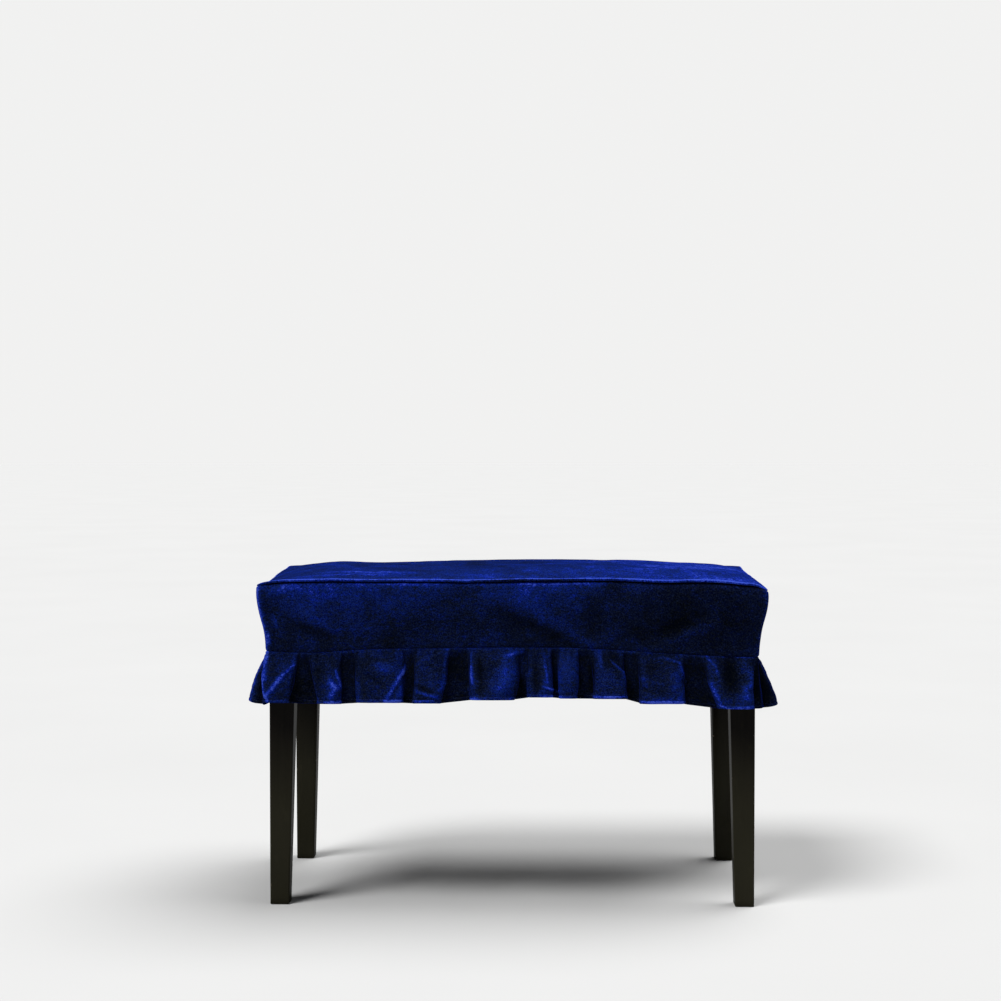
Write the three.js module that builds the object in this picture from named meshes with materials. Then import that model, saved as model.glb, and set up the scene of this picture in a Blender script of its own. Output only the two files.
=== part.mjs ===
// A padded piano bench under its fitted velvet cover, in millimetres.
// The floor is z = 0, the origin lies under the middle of the seat, the front faces -Y and +Z is up.
// The bench is a plain seat, four rails and four tapered legs.
// The cover is a top panel, four drop panels and one long ruffle that is sewn round the drop in pleats.
import * as THREE from "three";

// Bench sizes
const SEAT = { halfX: 369, halfY: 166, bottom: 440, edge: 484, crown: 15.4 };
const SEAT_CORNER = { drop: 6, sharpness: 8 };
const SEAT_CELLS = { along: 14, across: 6, border: 12 };
const LEG = { top: 41, foot: 28.5, chamfer: 1.5, outerX: 363, outerY: 160 };
const RAIL = { thick: 20, height: 64, inset: 3 };
const WOOD_GAP = 0.3;

// The crowned tops stay nearly level and turn down near their edges, more so with a higher power
const CROWN_POWER = 4;

// Cloth thickness, the hem's thickness where the cloth is turned up, and the gap along each sewn seam
const CLOTH = 2;
const HEM = 3;
const SEAM_GAP = 0.4;

// Top panel: its rim is the raised seam, and its corners hang a little past the seat
const TOP = { halfX: 380, halfY: 178, rim: 487.8, crown: 12.9, ridge: 3.5, ridgeWidth: 6, rightSag: 3 };
const CORNER = { sharpness: 6, frontLeft: 6, frontRight: 9, backRight: 2, backLeft: 4 };
const TOP_CELLS = { along: 30, across: 8 };

// Drop: the panels start under the rim and are drawn in towards the ruffle's seam
const DROP = { topInset: 1.5, bottomX: 367.5, bottomY: 166.5, drawStart: 0.05, rows: 6 };

// Heights of the ruffle's seam at the corners, and the rise in the middle of the front
const SEAM_HEIGHT = { frontLeft: 384.5, frontRight: 376.5, backRight: 380, backLeft: 383 };
const FRONT_RISE = { along: 60, height: 387.5 };

// Main creases of the front drop, as soft ridges (height above 0) and troughs from one point to another,
// and how late they fade towards the panel's ends
const CREASE_FADE = 8;
const FRONT_CREASES = [
  { fromX: -14, fromZ: 440, toX: 98, toZ: 396, halfWidth: 20, height: -3.2 },
  { fromX: 10, fromZ: 466, toX: 84, toZ: 414, halfWidth: 24, height: 2.4 },
  { fromX: 128, fromZ: 396, toX: 300, toZ: 428, halfWidth: 22, height: 2.6 },
  { fromX: -322, fromZ: 430, toX: -262, toZ: 404, halfWidth: 18, height: -2 },
];

// Ruffle: how far the folds between pleats stand out and hang, how far pleats tuck under, and how they open
const RUFFLE = { floor: 5, foldDrop: 3, tuck: 3, swing: 1.45, gather: 0.6 };

// Rows of the ruffle from its seam to its hem, as shares of its fall; it is flat down to the stitch line
const RUFFLE_ROWS = [0, 0.06, 0.3, 0.6, 0.9, 1];
const STITCH_LINE = RUFFLE_ROWS[1];
const HEM_START = 0.85;

// Each row is one pleat: its edges along the side at the hem, how far it stands out, and its hem's height
const PLEATS = {
  front: [
    { start: -364, end: -318, crest: 25, hem: 306 },
    { start: -302, end: -250, crest: 27, hem: 307 },
    { start: -232, end: -156, crest: 28, hem: 310 },
    { start: -150, end: -98, crest: 26, hem: 311 },
    { start: -64, end: 10, crest: 33, hem: 315 },
    { start: 23, end: 64, crest: 30, hem: 317 },
    { start: 72, end: 99, crest: 26, hem: 317 },
    { start: 114, end: 168, crest: 30, hem: 315 },
    { start: 190, end: 260, crest: 31, hem: 308 },
    { start: 297, end: 362, crest: 31, hem: 301 },
  ],
  right: [
    { start: -158, end: -104, crest: 30, hem: 303 },
    { start: -90, end: -38, crest: 25, hem: 304 },
    { start: -30, end: 28, crest: 29, hem: 305 },
    { start: 42, end: 90, crest: 26, hem: 306 },
    { start: 102, end: 158, crest: 28, hem: 305 },
  ],
  back: [
    { start: -362, end: -292, crest: 29, hem: 304 },
    { start: -280, end: -214, crest: 26, hem: 305 },
    { start: -200, end: -150, crest: 28, hem: 307 },
    { start: -138, end: -66, crest: 33, hem: 309 },
    { start: -50, end: 10, crest: 29, hem: 309 },
    { start: 24, end: 80, crest: 27, hem: 308 },
    { start: 88, end: 150, crest: 30, hem: 308 },
    { start: 166, end: 214, crest: 26, hem: 307 },
    { start: 226, end: 296, crest: 31, hem: 306 },
    { start: 308, end: 362, crest: 27, hem: 306 },
  ],
  left: [
    { start: -158, end: -96, crest: 28, hem: 306 },
    { start: -84, end: -40, crest: 25, hem: 305 },
    { start: -28, end: 22, crest: 29, hem: 306 },
    { start: 38, end: 84, crest: 26, hem: 306 },
    { start: 96, end: 159, crest: 30, hem: 306 },
  ],
};

// Section across one pleat: its place in the seam, its place at the hem, its tuck and how far it stands out
const PLEAT_SECTION = [
  { seam: 0.05, along: 0, tuck: 1, out: 0 },
  { seam: 0.13, along: 0, tuck: 0, out: 0.42 },
  { seam: 0.22, along: 0.08, tuck: 0, out: 0.8 },
  { seam: 0.35, along: 0.26, tuck: 0, out: 1 },
  { seam: 0.5, along: 0.5, tuck: 0, out: 0.93 },
  { seam: 0.65, along: 0.74, tuck: 0, out: 0.98 },
  { seam: 0.78, along: 0.92, tuck: 0, out: 0.78 },
  { seam: 0.87, along: 1, tuck: 0, out: 0.4 },
  { seam: 0.95, along: 1, tuck: -1, out: 0 },
];

const { lerp, smoothstep } = THREE.MathUtils;

// The four sides in the order of a walk round the bench, each with its direction and its way out
const SIDES = [
  { name: "front", along: [1, 0], out: [0, -1], from: "frontLeft", to: "frontRight", long: true },
  { name: "right", along: [0, 1], out: [1, 0], from: "frontRight", to: "backRight", long: false },
  { name: "back", along: [-1, 0], out: [0, 1], from: "backRight", to: "backLeft", long: true },
  { name: "left", along: [0, -1], out: [-1, 0], from: "backLeft", to: "frontLeft", long: false },
];

const velvet = new THREE.MeshStandardMaterial({ color: 0x14277f, roughness: 0.9, metalness: 0 });
const blackLacquer = new THREE.MeshStandardMaterial({ color: 0x191813, roughness: 0.3, metalness: 0 });
const seatCloth = new THREE.MeshStandardMaterial({ color: 0x1b1a18, roughness: 0.7, metalness: 0 });

function named(name, geometry, material) {
  const mesh = new THREE.Mesh(geometry, material);
  mesh.name = name;
  return mesh;
}

// A closed solid between an outer and an inner grid of points, open at its sides or joined into a ring
function shellBetween(outer, inner, ring = false) {
  const rows = outer.length;
  const columns = outer[0].length;
  const at = (layer, row, column) => (layer * rows + row) * columns + (column % columns);
  const faces = [];
  const quad = (a, b, c, d) => faces.push(a, b, c, a, c, d);
  const lastColumn = columns - 1;
  const lastRow = rows - 1;
  for (let c = 0; c < (ring ? columns : lastColumn); c++) {
    for (let r = 0; r < lastRow; r++) {
      quad(at(0, r, c), at(0, r + 1, c), at(0, r + 1, c + 1), at(0, r, c + 1));
      quad(at(1, r, c), at(1, r, c + 1), at(1, r + 1, c + 1), at(1, r + 1, c));
    }
    quad(at(0, 0, c), at(0, 0, c + 1), at(1, 0, c + 1), at(1, 0, c));
    quad(at(0, lastRow, c), at(1, lastRow, c), at(1, lastRow, c + 1), at(0, lastRow, c + 1));
  }
  for (let r = 0; !ring && r < lastRow; r++) {
    quad(at(0, r, 0), at(1, r, 0), at(1, r + 1, 0), at(0, r + 1, 0));
    quad(at(0, r, lastColumn), at(0, r + 1, lastColumn), at(1, r + 1, lastColumn), at(1, r, lastColumn));
  }
  const points = [...outer.flat(), ...inner.flat()].flatMap((p) => p.toArray());
  return new THREE.BufferGeometry()
    .setAttribute("position", new THREE.Float32BufferAttribute(points, 3))
    .setIndex(faces);
}

// The direction square to a grid of points at one of them, from the neighbours on each side
function gridNormal(grid, row, column, ring) {
  const columns = grid[0].length;
  const wrap = (c) => (ring ? (c + columns) % columns : Math.min(Math.max(c, 0), columns - 1));
  const above = grid[Math.max(row - 1, 0)][column];
  const below = grid[Math.min(row + 1, grid.length - 1)][column];
  const down = below.clone().sub(above);
  const along = grid[row][wrap(column + 1)].clone().sub(grid[row][wrap(column - 1)]);
  return down.cross(along).normalize();
}

// A sheet of cloth of a given thickness about a grid of points that runs through its middle
function sheetAbout(grid, thicknessAt, ring = false) {
  const layer = (way) =>
    grid.map((line, row) =>
      line.map((point, column) => {
        const reach = (way * thicknessAt(row, column)) / 2;
        return point.clone().addScaledVector(gridNormal(grid, row, column, ring), reach);
      }),
    );
  return shellBetween(layer(1), layer(-1), ring);
}

// Places from -half to half in even cells, with a narrow border cell at each end
function bordered(half, border, cells) {
  const inner = half - border;
  const even = Array.from({ length: cells + 1 }, (_, i) => lerp(-inner, inner, i / cells));
  return [-half, ...even, half];
}

const evenly = (count) => Array.from({ length: count }, (_, i) => i / (count - 1));
const pillow = (a, b) => (1 - a ** CROWN_POWER) * (1 - b ** CROWN_POWER);

// A point beside the bench: its place along a side, its distance from the middle and its height
function besidePoint(side, along, distance, height) {
  const [ax, ay] = side.along;
  const [ox, oy] = side.out;
  return new THREE.Vector3(ax * along + ox * distance, ay * along + oy * distance, height);
}

// Bench seat: a padded block with a crowned top
function seatGeometry() {
  const xs = bordered(SEAT.halfX, SEAT_CELLS.border, SEAT_CELLS.along);
  const ys = bordered(SEAT.halfY, SEAT_CELLS.border, SEAT_CELLS.across).reverse();
  const topAt = (x, y) => {
    const a = x / SEAT.halfX;
    const b = y / SEAT.halfY;
    const cornerDrop = SEAT_CORNER.drop * Math.abs(a * b) ** SEAT_CORNER.sharpness;
    return SEAT.edge + SEAT.crown * pillow(a, b) - cornerDrop;
  };
  const top = ys.map((y) => xs.map((x) => new THREE.Vector3(x, y, topAt(x, y))));
  const bottom = ys.map((y) => xs.map((x) => new THREE.Vector3(x, y, SEAT.bottom)));
  return shellBetween(top, bottom);
}

// Leg: a chamfered square post whose two inner faces taper down to the foot
function legGeometry() {
  const { top, foot, chamfer } = LEG;
  const post = new THREE.Shape();
  post.moveTo(chamfer, 0);
  post.lineTo(top - chamfer, 0);
  post.lineTo(top, chamfer);
  post.lineTo(top, top - chamfer);
  post.lineTo(top - chamfer, top);
  post.lineTo(chamfer, top);
  post.lineTo(0, top - chamfer);
  post.lineTo(0, chamfer);
  post.closePath();
  const height = SEAT.bottom - WOOD_GAP;
  const geometry = new THREE.ExtrudeGeometry(post, { depth: height, bevelEnabled: false });
  const position = geometry.getAttribute("position");
  for (let i = 0; i < position.count; i++) {
    const narrowing = lerp(foot / top, 1, position.getZ(i) / height);
    position.setX(i, position.getX(i) * narrowing);
    position.setY(i, position.getY(i) * narrowing);
  }
  return geometry;
}

function makeLegs() {
  const corners = [
    { name: "leg_front_left", x: -1, y: -1 },
    { name: "leg_front_right", x: 1, y: -1 },
    { name: "leg_back_right", x: 1, y: 1 },
    { name: "leg_back_left", x: -1, y: 1 },
  ];
  return corners.map((corner, quarterTurns) => {
    const leg = named(corner.name, legGeometry(), blackLacquer);
    leg.position.set(corner.x * LEG.outerX, corner.y * LEG.outerY, 0);
    leg.rotation.z = (quarterTurns * Math.PI) / 2;
    return leg;
  });
}

// Rails: one under each edge of the seat, fitted between two legs
function makeRails() {
  return SIDES.map((side) => {
    const reach = side.long ? LEG.outerX : LEG.outerY;
    const outer = side.long ? LEG.outerY : LEG.outerX;
    const length = 2 * (reach - LEG.top - WOOD_GAP);
    const size = side.long ? [length, RAIL.thick] : [RAIL.thick, length];
    const rail = named(`rail_${side.name}`, new THREE.BoxGeometry(...size, RAIL.height), blackLacquer);
    const height = SEAT.bottom - WOOD_GAP - RAIL.height / 2;
    rail.position.copy(besidePoint(side, 0, outer - RAIL.inset - RAIL.thick / 2, height));
    return rail;
  });
}

// Height of the cover's top panel, through the middle of the cloth
function topHeight(x, y) {
  const a = x / TOP.halfX;
  const b = y / TOP.halfY;
  const depth = b < 0 ? "front" : "back";
  const droop = CORNER[depth + (a < 0 ? "Left" : "Right")] * Math.abs(a * b) ** CORNER.sharpness;
  const sag = TOP.rightSag * Math.max(a, 0) ** 2 * Math.max(-b, 0) ** 2;
  return TOP.rim + TOP.crown * pillow(a, b) - sag - droop;
}

function topGeometry() {
  const xs = bordered(TOP.halfX, TOP.ridgeWidth, TOP_CELLS.along);
  const ys = bordered(TOP.halfY, TOP.ridgeWidth, TOP_CELLS.across).reverse();
  const grid = ys.map((y) => xs.map((x) => new THREE.Vector3(x, y, topHeight(x, y))));
  const onRim = (row, column) =>
    row === 0 || column === 0 || row === ys.length - 1 || column === xs.length - 1;
  return sheetAbout(grid, (row, column) => (onRim(row, column) ? TOP.ridge : CLOTH));
}

// Height of the seam between the drop and the ruffle, along one side
function seamHeight(side, along) {
  const half = side.long ? DROP.bottomX : DROP.bottomY;
  const [from, to] = [SEAM_HEIGHT[side.from], SEAM_HEIGHT[side.to]];
  const ease = (low, high) => smoothstep(along, low, high);
  if (side.name !== "front") return lerp(from, to, ease(-half, half));
  return along < FRONT_RISE.along
    ? lerp(from, FRONT_RISE.height, ease(-half, FRONT_RISE.along))
    : lerp(FRONT_RISE.height, to, ease(FRONT_RISE.along, half));
}

// How far the creases of the front drop stand out at a point
function creaseAt(x, z) {
  return FRONT_CREASES.reduce((sum, crease) => {
    const [dx, dz] = [crease.toX - crease.fromX, crease.toZ - crease.fromZ];
    const share = ((x - crease.fromX) * dx + (z - crease.fromZ) * dz) / (dx * dx + dz * dz);
    const nearest = Math.min(Math.max(share, 0), 1);
    const [ex, ez] = [x - crease.fromX - nearest * dx, z - crease.fromZ - nearest * dz];
    return sum + crease.height * Math.exp(-(ex * ex + ez * ez) / crease.halfWidth ** 2);
  }, 0);
}

// Drop panel: hangs from the rim of the top and is drawn in towards the ruffle's seam
function dropGeometry(side) {
  const topHalf = { x: TOP.halfX - DROP.topInset, y: TOP.halfY - DROP.topInset };
  const halfAt = (draw) => ({
    x: lerp(topHalf.x, DROP.bottomX, draw),
    y: lerp(topHalf.y, DROP.bottomY, draw),
  });
  const cells = side.long ? TOP_CELLS.along : TOP_CELLS.across;
  const topHalfAlong = side.long ? TOP.halfX : TOP.halfY;
  const places = bordered(1, TOP.ridgeWidth / topHalfAlong, cells);
  const grid = evenly(DROP.rows).map((fall) => {
    const half = halfAt(smoothstep(fall, DROP.drawStart, 1));
    const reach = side.long ? half.x : half.y - CLOTH / 2 - SEAM_GAP;
    const distance = side.long ? half.y : half.x;
    return places.map((place) => {
      const along = place * reach;
      const rim = besidePoint(side, place * topHalfAlong, side.long ? TOP.halfY : TOP.halfX, 0);
      const start = topHeight(rim.x, rim.y) - TOP.ridge / 2 - SEAM_GAP;
      const height = lerp(start, seamHeight(side, along), fall);
      const free = Math.sin(Math.PI * fall) * (1 - place ** CREASE_FADE);
      const crease = side.name === "front" ? creaseAt(along, height) * free : 0;
      return besidePoint(side, along, distance + crease, height);
    });
  });
  return sheetAbout(grid, () => CLOTH);
}

// The pleats of one side as columns that run from the seam to the hem, then the fold at its far corner
function ruffleColumns(side) {
  const half = side.long ? DROP.bottomX : DROP.bottomY;
  const distance = side.long ? DROP.bottomY : DROP.bottomX;
  const pleats = PLEATS[side.name];
  const foldBetween = (left, right) => (left.end + right.start) / 2;
  const column = (placeAt, outShare, hem, crest) =>
    RUFFLE_ROWS.map((fall) => {
      const open = Math.max(fall - STITCH_LINE, 0) / (1 - STITCH_LINE);
      const floor = RUFFLE.floor * open;
      const swing = 1 - (1 - open) ** RUFFLE.swing;
      const along = placeAt(open ** RUFFLE.gather, floor);
      const out = lerp(floor, crest * swing, outShare);
      const foot = hem - RUFFLE.foldDrop * (1 - outShare);
      const height = lerp(seamHeight(side, along) - SEAM_GAP, foot, fall);
      return besidePoint(side, along, distance + out, height);
    });
  const columns = pleats.flatMap((pleat, i) => {
    const left = i > 0 ? foldBetween(pleats[i - 1], pleat) : -half;
    const right = i < pleats.length - 1 ? foldBetween(pleat, pleats[i + 1]) : half;
    return PLEAT_SECTION.map((point) => {
      const seamPlace = lerp(left, right, point.seam);
      const hemPlace = lerp(pleat.start, pleat.end, point.along) + point.tuck * RUFFLE.tuck;
      return column((gather) => lerp(seamPlace, hemPlace, gather), point.out, pleat.hem, pleat.crest);
    });
  });
  const lastHem = pleats[pleats.length - 1].hem;
  return [...columns, column((_, floor) => half + floor, 0, lastHem, 0)];
}

function ruffleGeometry() {
  const columns = SIDES.flatMap(ruffleColumns);
  const grid = RUFFLE_ROWS.map((_, row) => columns.map((column) => column[row]));
  const thicknessAt = (row) => (RUFFLE_ROWS[row] > HEM_START ? HEM : CLOTH);
  return sheetAbout(grid, thicknessAt, true);
}

function makeBench() {
  const bench = new THREE.Group();
  bench.add(named("seat", seatGeometry(), seatCloth), ...makeRails(), ...makeLegs());
  return bench;
}

function makeCover() {
  const cover = new THREE.Group();
  cover.add(named("cover_top", topGeometry(), velvet));
  SIDES.forEach((side) => cover.add(named(`drop_${side.name}`, dropGeometry(side), velvet)));
  cover.add(named("ruffle", ruffleGeometry(), velvet));
  return cover;
}

const coveredBench = new THREE.Group();
coveredBench.add(makeBench(), makeCover());

export default coveredBench;
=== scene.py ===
# A padded bench under its fitted velvet cover, in metres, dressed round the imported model.
import math
from collections import namedtuple
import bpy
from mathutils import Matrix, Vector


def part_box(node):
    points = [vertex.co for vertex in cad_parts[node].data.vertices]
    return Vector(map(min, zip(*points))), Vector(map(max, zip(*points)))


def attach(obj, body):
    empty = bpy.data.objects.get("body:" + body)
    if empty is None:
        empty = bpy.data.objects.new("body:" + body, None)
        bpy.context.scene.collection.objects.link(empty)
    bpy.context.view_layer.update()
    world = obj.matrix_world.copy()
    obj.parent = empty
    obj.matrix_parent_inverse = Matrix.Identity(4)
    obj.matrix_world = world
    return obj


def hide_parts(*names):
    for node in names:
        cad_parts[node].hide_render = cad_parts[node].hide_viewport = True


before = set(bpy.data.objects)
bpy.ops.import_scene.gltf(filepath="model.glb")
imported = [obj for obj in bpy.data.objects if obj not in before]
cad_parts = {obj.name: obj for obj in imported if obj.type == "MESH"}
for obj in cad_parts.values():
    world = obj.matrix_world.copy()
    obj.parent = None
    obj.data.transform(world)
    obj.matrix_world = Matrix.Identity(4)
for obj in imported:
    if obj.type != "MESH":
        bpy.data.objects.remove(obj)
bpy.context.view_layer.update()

from types import SimpleNamespace as Sizes

import bmesh
import bpy
import numpy as np
from mathutils import Vector


def table(row, *values):
    """A table of rows with named columns."""
    return tuple(row(*each) for each in values)


# Studio: the reach of the floor, the light that comes from all round, and the backdrop behind everything
STUDIO = Sizes(
    floor_reach=60, ambient=0.06, ambient_colour=(0.95, 0.97, 1, 1), backdrop_colour=(0.88, 0.88, 0.875, 1)
)

# Soft lights: the direction that each comes from, its power, and how wide it is in the sky in degrees
Lamp = namedtuple("Lamp", "name source power spread")
LAMPS = table(
    Lamp,
    ("overhead", (0.7, 0.4, 2.0), 2.9, 45),
    ("key", (-1.1, -1.0, 2.2), 2.7, 24),
)

# Camera: its place, its turn towards +X and its dip below level in degrees, its focal length and the width of
# the picture in pixels, and the width of its sensor in millimetres
CAMERA = Sizes(place=(0.0399, -2.7501, 0.6903), turn=-1.248, dip=1.815, focus=1741.0, picture=1001, sensor=36)

# Cloth: its thickness in the panels, in the ruffle, in the turned-up hem and at the hem's stitches, and the
# share of it that an edge is rounded over
CLOTH = Sizes(panel=0.0013, ruffle=0.0013, hem=0.0026, stitched=0.0014, edge_round=0.4)

# Flat cut of each piece of cloth: its finished size along the cloth, 6 mm for each seam and 8 mm turned up at
# the hem
CUT = Sizes(top=(0.788, 0.382), long_drop=(0.760, 0.118), short_drop=(0.356, 0.118), ruffle=(2.76, 0.094))

# Where each piece starts along the length of cloth, so that no two show the same grain
CUT_START = Sizes(top=0.0, drop_step=1.3, ruffle=7.1)

# Top panel: half its length and depth, its crown and how fast it falls off, how far its short rims bow in,
# and how far its corners are drawn in
TOP = Sizes(
    half_x=0.380, half_y=0.178, crown=0.0146, power_x=8, power_y=4, cells=(150, 70),
    bow=0.004, bow_power=4, corner_round=0.0034, corner_power=40,
)

# Height of each rim of the top panel at places along it, in the frame's own directions
LinePoint = namedtuple("LinePoint", "place height")
RIMS = {
    "front": table(
        LinePoint,
        (-0.38, 0.4822), (-0.371, 0.485), (-0.36, 0.4868), (-0.315, 0.4894), (-0.15, 0.4904),
        (-0.04, 0.49), (0.05, 0.4917), (0.15, 0.4911), (0.22, 0.4897), (0.339, 0.4868), (0.366, 0.4832),
        (0.38, 0.4765),
    ),
    "right": table(
        LinePoint,
        (-0.178, 0.4765), (-0.144, 0.4785), (-0.06, 0.4805), (0.003, 0.4815), (0.07, 0.4836),
        (0.178, 0.4866),
    ),
    "back": table(LinePoint, (-0.38, 0.4865), (-0.3, 0.4882), (0.1, 0.4885), (0.38, 0.4866)),
    "left": table(
        LinePoint,
        (-0.178, 0.4822), (-0.16, 0.48), (-0.065, 0.4798), (-0.014, 0.483), (0.04, 0.4862), (0.1, 0.4876),
        (0.178, 0.4865),
    ),
}

# Lumps in the padding under the top panel
Lump = namedtuple("Lump", "x y radius height")
TOP_LUMPS = table(
    Lump,
    (-0.2, 0.11, 0.13, -0.0058),
    (-0.35, 0.11, 0.036, -0.002),
    (-0.242, 0.1, 0.034, -0.0016),
    (0.28, 0.09, 0.06, -0.0026),
    (-0.12, -0.06, 0.08, -0.001),
    (0.12, -0.08, 0.07, 0.0008),
)

# Section of the top panel's rim, from the panel out over the seam's ridge and back in under it
RollPoint = namedtuple("RollPoint", "inset lift")
RIM_ROLL = table(
    RollPoint,
    (0.0085, 0), (0.0062, 0.0001), (0.0045, 0.0005), (0.0031, 0.0009), (0.0019, 0.001), (0.0009, 0.0007),
    (0.0002, 0.0002), (0, -0.0003), (0.0006, -0.0007), (0.0018, -0.0009), (0.0032, -0.001),
    (0.0052, -0.0012),
)

# Drop: how far under the rim it starts, its reach at the ruffle's seam, where it starts to be drawn in, and
# how far it falls
DROP = Sizes(below_rim=0.0024, low_x=0.3675, low_y=0.1665, draw_start=0.05, fall=0.105)
DROP_CELLS = Sizes(long=210, short=100, rows=30)

# Corner of two drops: its radius at the rim and at the ruffle's seam, the groove of its seam, and how near
# the corner the cloth stays close under the rim
DROP_CORNER = Sizes(top=0.005, low=0.0034, columns=7, groove=0.001, groove_width=0.0014, hug=0.022, hold=0.15)

# Section of the drop's upper and lower edges: distance from the edge, and how far the cloth turns in there
EdgePoint = namedtuple("EdgePoint", "distance inset")
DROP_UPPER_EDGE = table(
    EdgePoint,
    (0, 0.006), (0.0008, 0.0047), (0.0017, 0.0033), (0.0027, 0.0019), (0.004, 0.0009), (0.006, 0.0003),
    (0.009, 0),
)
DROP_LOWER_EDGE = table(EdgePoint, (0, 0.002), (0.0008, 0.001), (0.002, 0.0004), (0.0045, 0))

# Height of the ruffle's seam at places along each side, and the ruffle's gap under it
SEAM_GAP = 0.0009
SEAMS = {
    "front": table(
        LinePoint,
        (-0.3675, 0.3836), (-0.345, 0.3823), (-0.285, 0.3821), (-0.225, 0.3862), (-0.11, 0.3885),
        (-0.04, 0.3895), (0.11, 0.3888), (0.25, 0.3804), (0.33, 0.3768), (0.3675, 0.3765),
    ),
    "right": table(LinePoint, (-0.1665, 0.3765), (0.1665, 0.38)),
    "back": table(LinePoint, (-0.3675, 0.38), (0.3675, 0.383)),
    "left": table(LinePoint, (-0.1665, 0.383), (0.1665, 0.3836)),
}

# Creases as soft ridges (height above 0) and troughs between two places along a side and up it, and the
# painted highlight (above 0) or painted shade (below 0) a crease adds beyond what its height paints on its
# ridge or trough. A row without height is only a stroke of painted highlight or painted shade
Crease = namedtuple("Crease", "from_along from_up to_along to_up half_width height shine", defaults=[0])
DROP_CREASES = {
    "front": table(
        Crease,
        (-0.014, 0.442, 0.102, 0.392, 0.011, -0.004),
        (0.01, 0.464, 0.066, 0.419, 0.014, 0.003),
        (0.072, 0.416, 0.12, 0.392, 0.008, 0.0026),
        (0.214, 0.39, 0.301, 0.426, 0.01, 0.0036),
        (0.192, 0.402, 0.281, 0.435, 0.011, -0.0024),
        (0.132, 0.399, 0.159, 0.414, 0.008, 0.0022),
        (-0.328, 0.427, -0.271, 0.402, 0.008, -0.0028),
        (-0.316, 0.436, -0.256, 0.413, 0.008, 0.0016),
        (-0.358, 0.472, -0.331, 0.483, 0.004, 0.0016),
        (-0.346, 0.463, -0.316, 0.478, 0.004, -0.0012),
        (-0.21, 0.398, -0.08, 0.424, 0.016, -0.0008),
        (-0.354, 0.436, -0.352, 0.421, 0.0026, 0.001, 0.45),
        (-0.363, 0.412, -0.362, 0.395, 0.0026, 0.001, 0.65),
        (-0.374, 0.477, -0.306, 0.479, 0.012, 0, 0.4),
        (-0.25, 0.4846, 0, 0.485, 0.0026, 0, 0.36),
        (0, 0.4854, 0.15, 0.4858, 0.0026, 0, 0.4),
        (-0.102, 0.48, -0.09, 0.474, 0.009, 0, 0.24),
        (-0.33, 0.458, -0.17, 0.464, 0.034, 0, 0.28),
        (0, 0.462, 0.08, 0.452, 0.03, 0, 0.14),
        (-0.08, 0.47, 0.12, 0.474, 0.014, 0, 0.13),
        (0.056, 0.48, 0.07, 0.479, 0.008, 0, 0.42),
        (0.076, 0.457, 0.104, 0.453, 0.011, 0, 0.22),
        (0.15, 0.43, 0.146, 0.404, 0.012, 0, -0.2),
        (0.23, 0.455, 0.35, 0.44, 0.05, 0, -0.25),
        (0.2, 0.415, 0.33, 0.4, 0.04, 0, -0.14),
    ),
    "right": table(
        Crease,
        (-0.15, 0.47, -0.06, 0.41, 0.016, -0.0026),
        (-0.04, 0.396, 0.07, 0.436, 0.018, 0.0024),
        (0.09, 0.462, 0.14, 0.404, 0.014, -0.002),
    ),
    "back": table(
        Crease,
        (-0.33, 0.47, -0.25, 0.404, 0.016, -0.0028),
        (-0.19, 0.396, -0.07, 0.44, 0.018, 0.0026),
        (0, 0.464, 0.11, 0.402, 0.015, -0.003),
        (0.16, 0.398, 0.28, 0.432, 0.018, 0.0024),
        (0.3, 0.468, 0.346, 0.41, 0.013, -0.002),
    ),
    "left": table(
        Crease,
        (-0.146, 0.464, -0.09, 0.402, 0.014, -0.0022),
        (-0.05, 0.398, 0.05, 0.438, 0.018, 0.0024),
        (0.06, 0.466, 0.146, 0.408, 0.015, -0.0026),
    ),
}
# Creases of the top panel, and strokes of painted highlight and painted shade on it: its right part painted
# lighter and a thin line of painted shade along the middle of its front rim
TOP_CREASES = table(
    Crease,
    (-0.33, -0.15, -0.19, -0.142, 0.006, 0.0012, 0.25),
    (-0.3, -0.12, -0.15, -0.126, 0.008, 0.001, 0.25),
    (0.14, -0.12, 0.3, -0.09, 0.012, 0.0011),
    (-0.06, 0.06, 0.15, 0.09, 0.016, -0.001),
    (-0.28, 0.08, -0.14, 0.05, 0.014, 0.0011),
    (0.22, 0.04, 0.34, 0.12, 0.012, 0.001),
    (-0.345, -0.174, -0.3, -0.174, 0.012, 0, 0.3),
    (-0.06, -0.178, 0.112, -0.178, 0.001, 0, -0.6),
    (0.275, -0.17, 0.345, -0.168, 0.012, 0, 0.22),
    (0.2, 0, 0.38, 0, 0.17, 0, 0.3),
    (-0.06, 0, 0.06, 0, 0.1, 0, -0.12),
)

# Ends of a crease: the least share of it that is left there, and the part of a half wave that it follows
CREASE_TAPER = Sizes(least=0.35, start=0.12, end=0.88)

# Ruffle: how far the folds between pleats stand out and hang, how pleats tuck under and open, its stitch
# line, how far it falls and where it hangs loose, and how its corners are drawn in at the seam
RUFFLE = Sizes(
    floor=0.005, fold_drop=0.003, tuck=0.007, swing=1.6, gather=0.5, stitch_line=0.04,
    fall=0.080, loose_below=0.040, corner_share=1 / 3, corner_power=4,
)
RUFFLE_CELLS = Sizes(spans=6, thinned=2, rows=33)

# Hollow between pleats under the seam: its depth on each kind of side and at a corner, and its deepest place
RECESS = Sizes(long=0.0038, short=0.0028, corner=0.001, peak=0.16)

# Rows of the ruffle near its upper edge and above its hem, and the hem's line of stitches
RUFFLE_UPPER_EDGE = (0, 0.0008, 0.002, 0.004)
HEM_ROWS = (0.0074, 0.0058, 0.0048, 0.0042, 0.0036, 0.0026, 0.0012, 0)
HEM = Sizes(stitch_height=0.0042, pinch=0.0008, pinch_reach=0.0009, double_below=0.0006, single_above=0.001)

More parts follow.
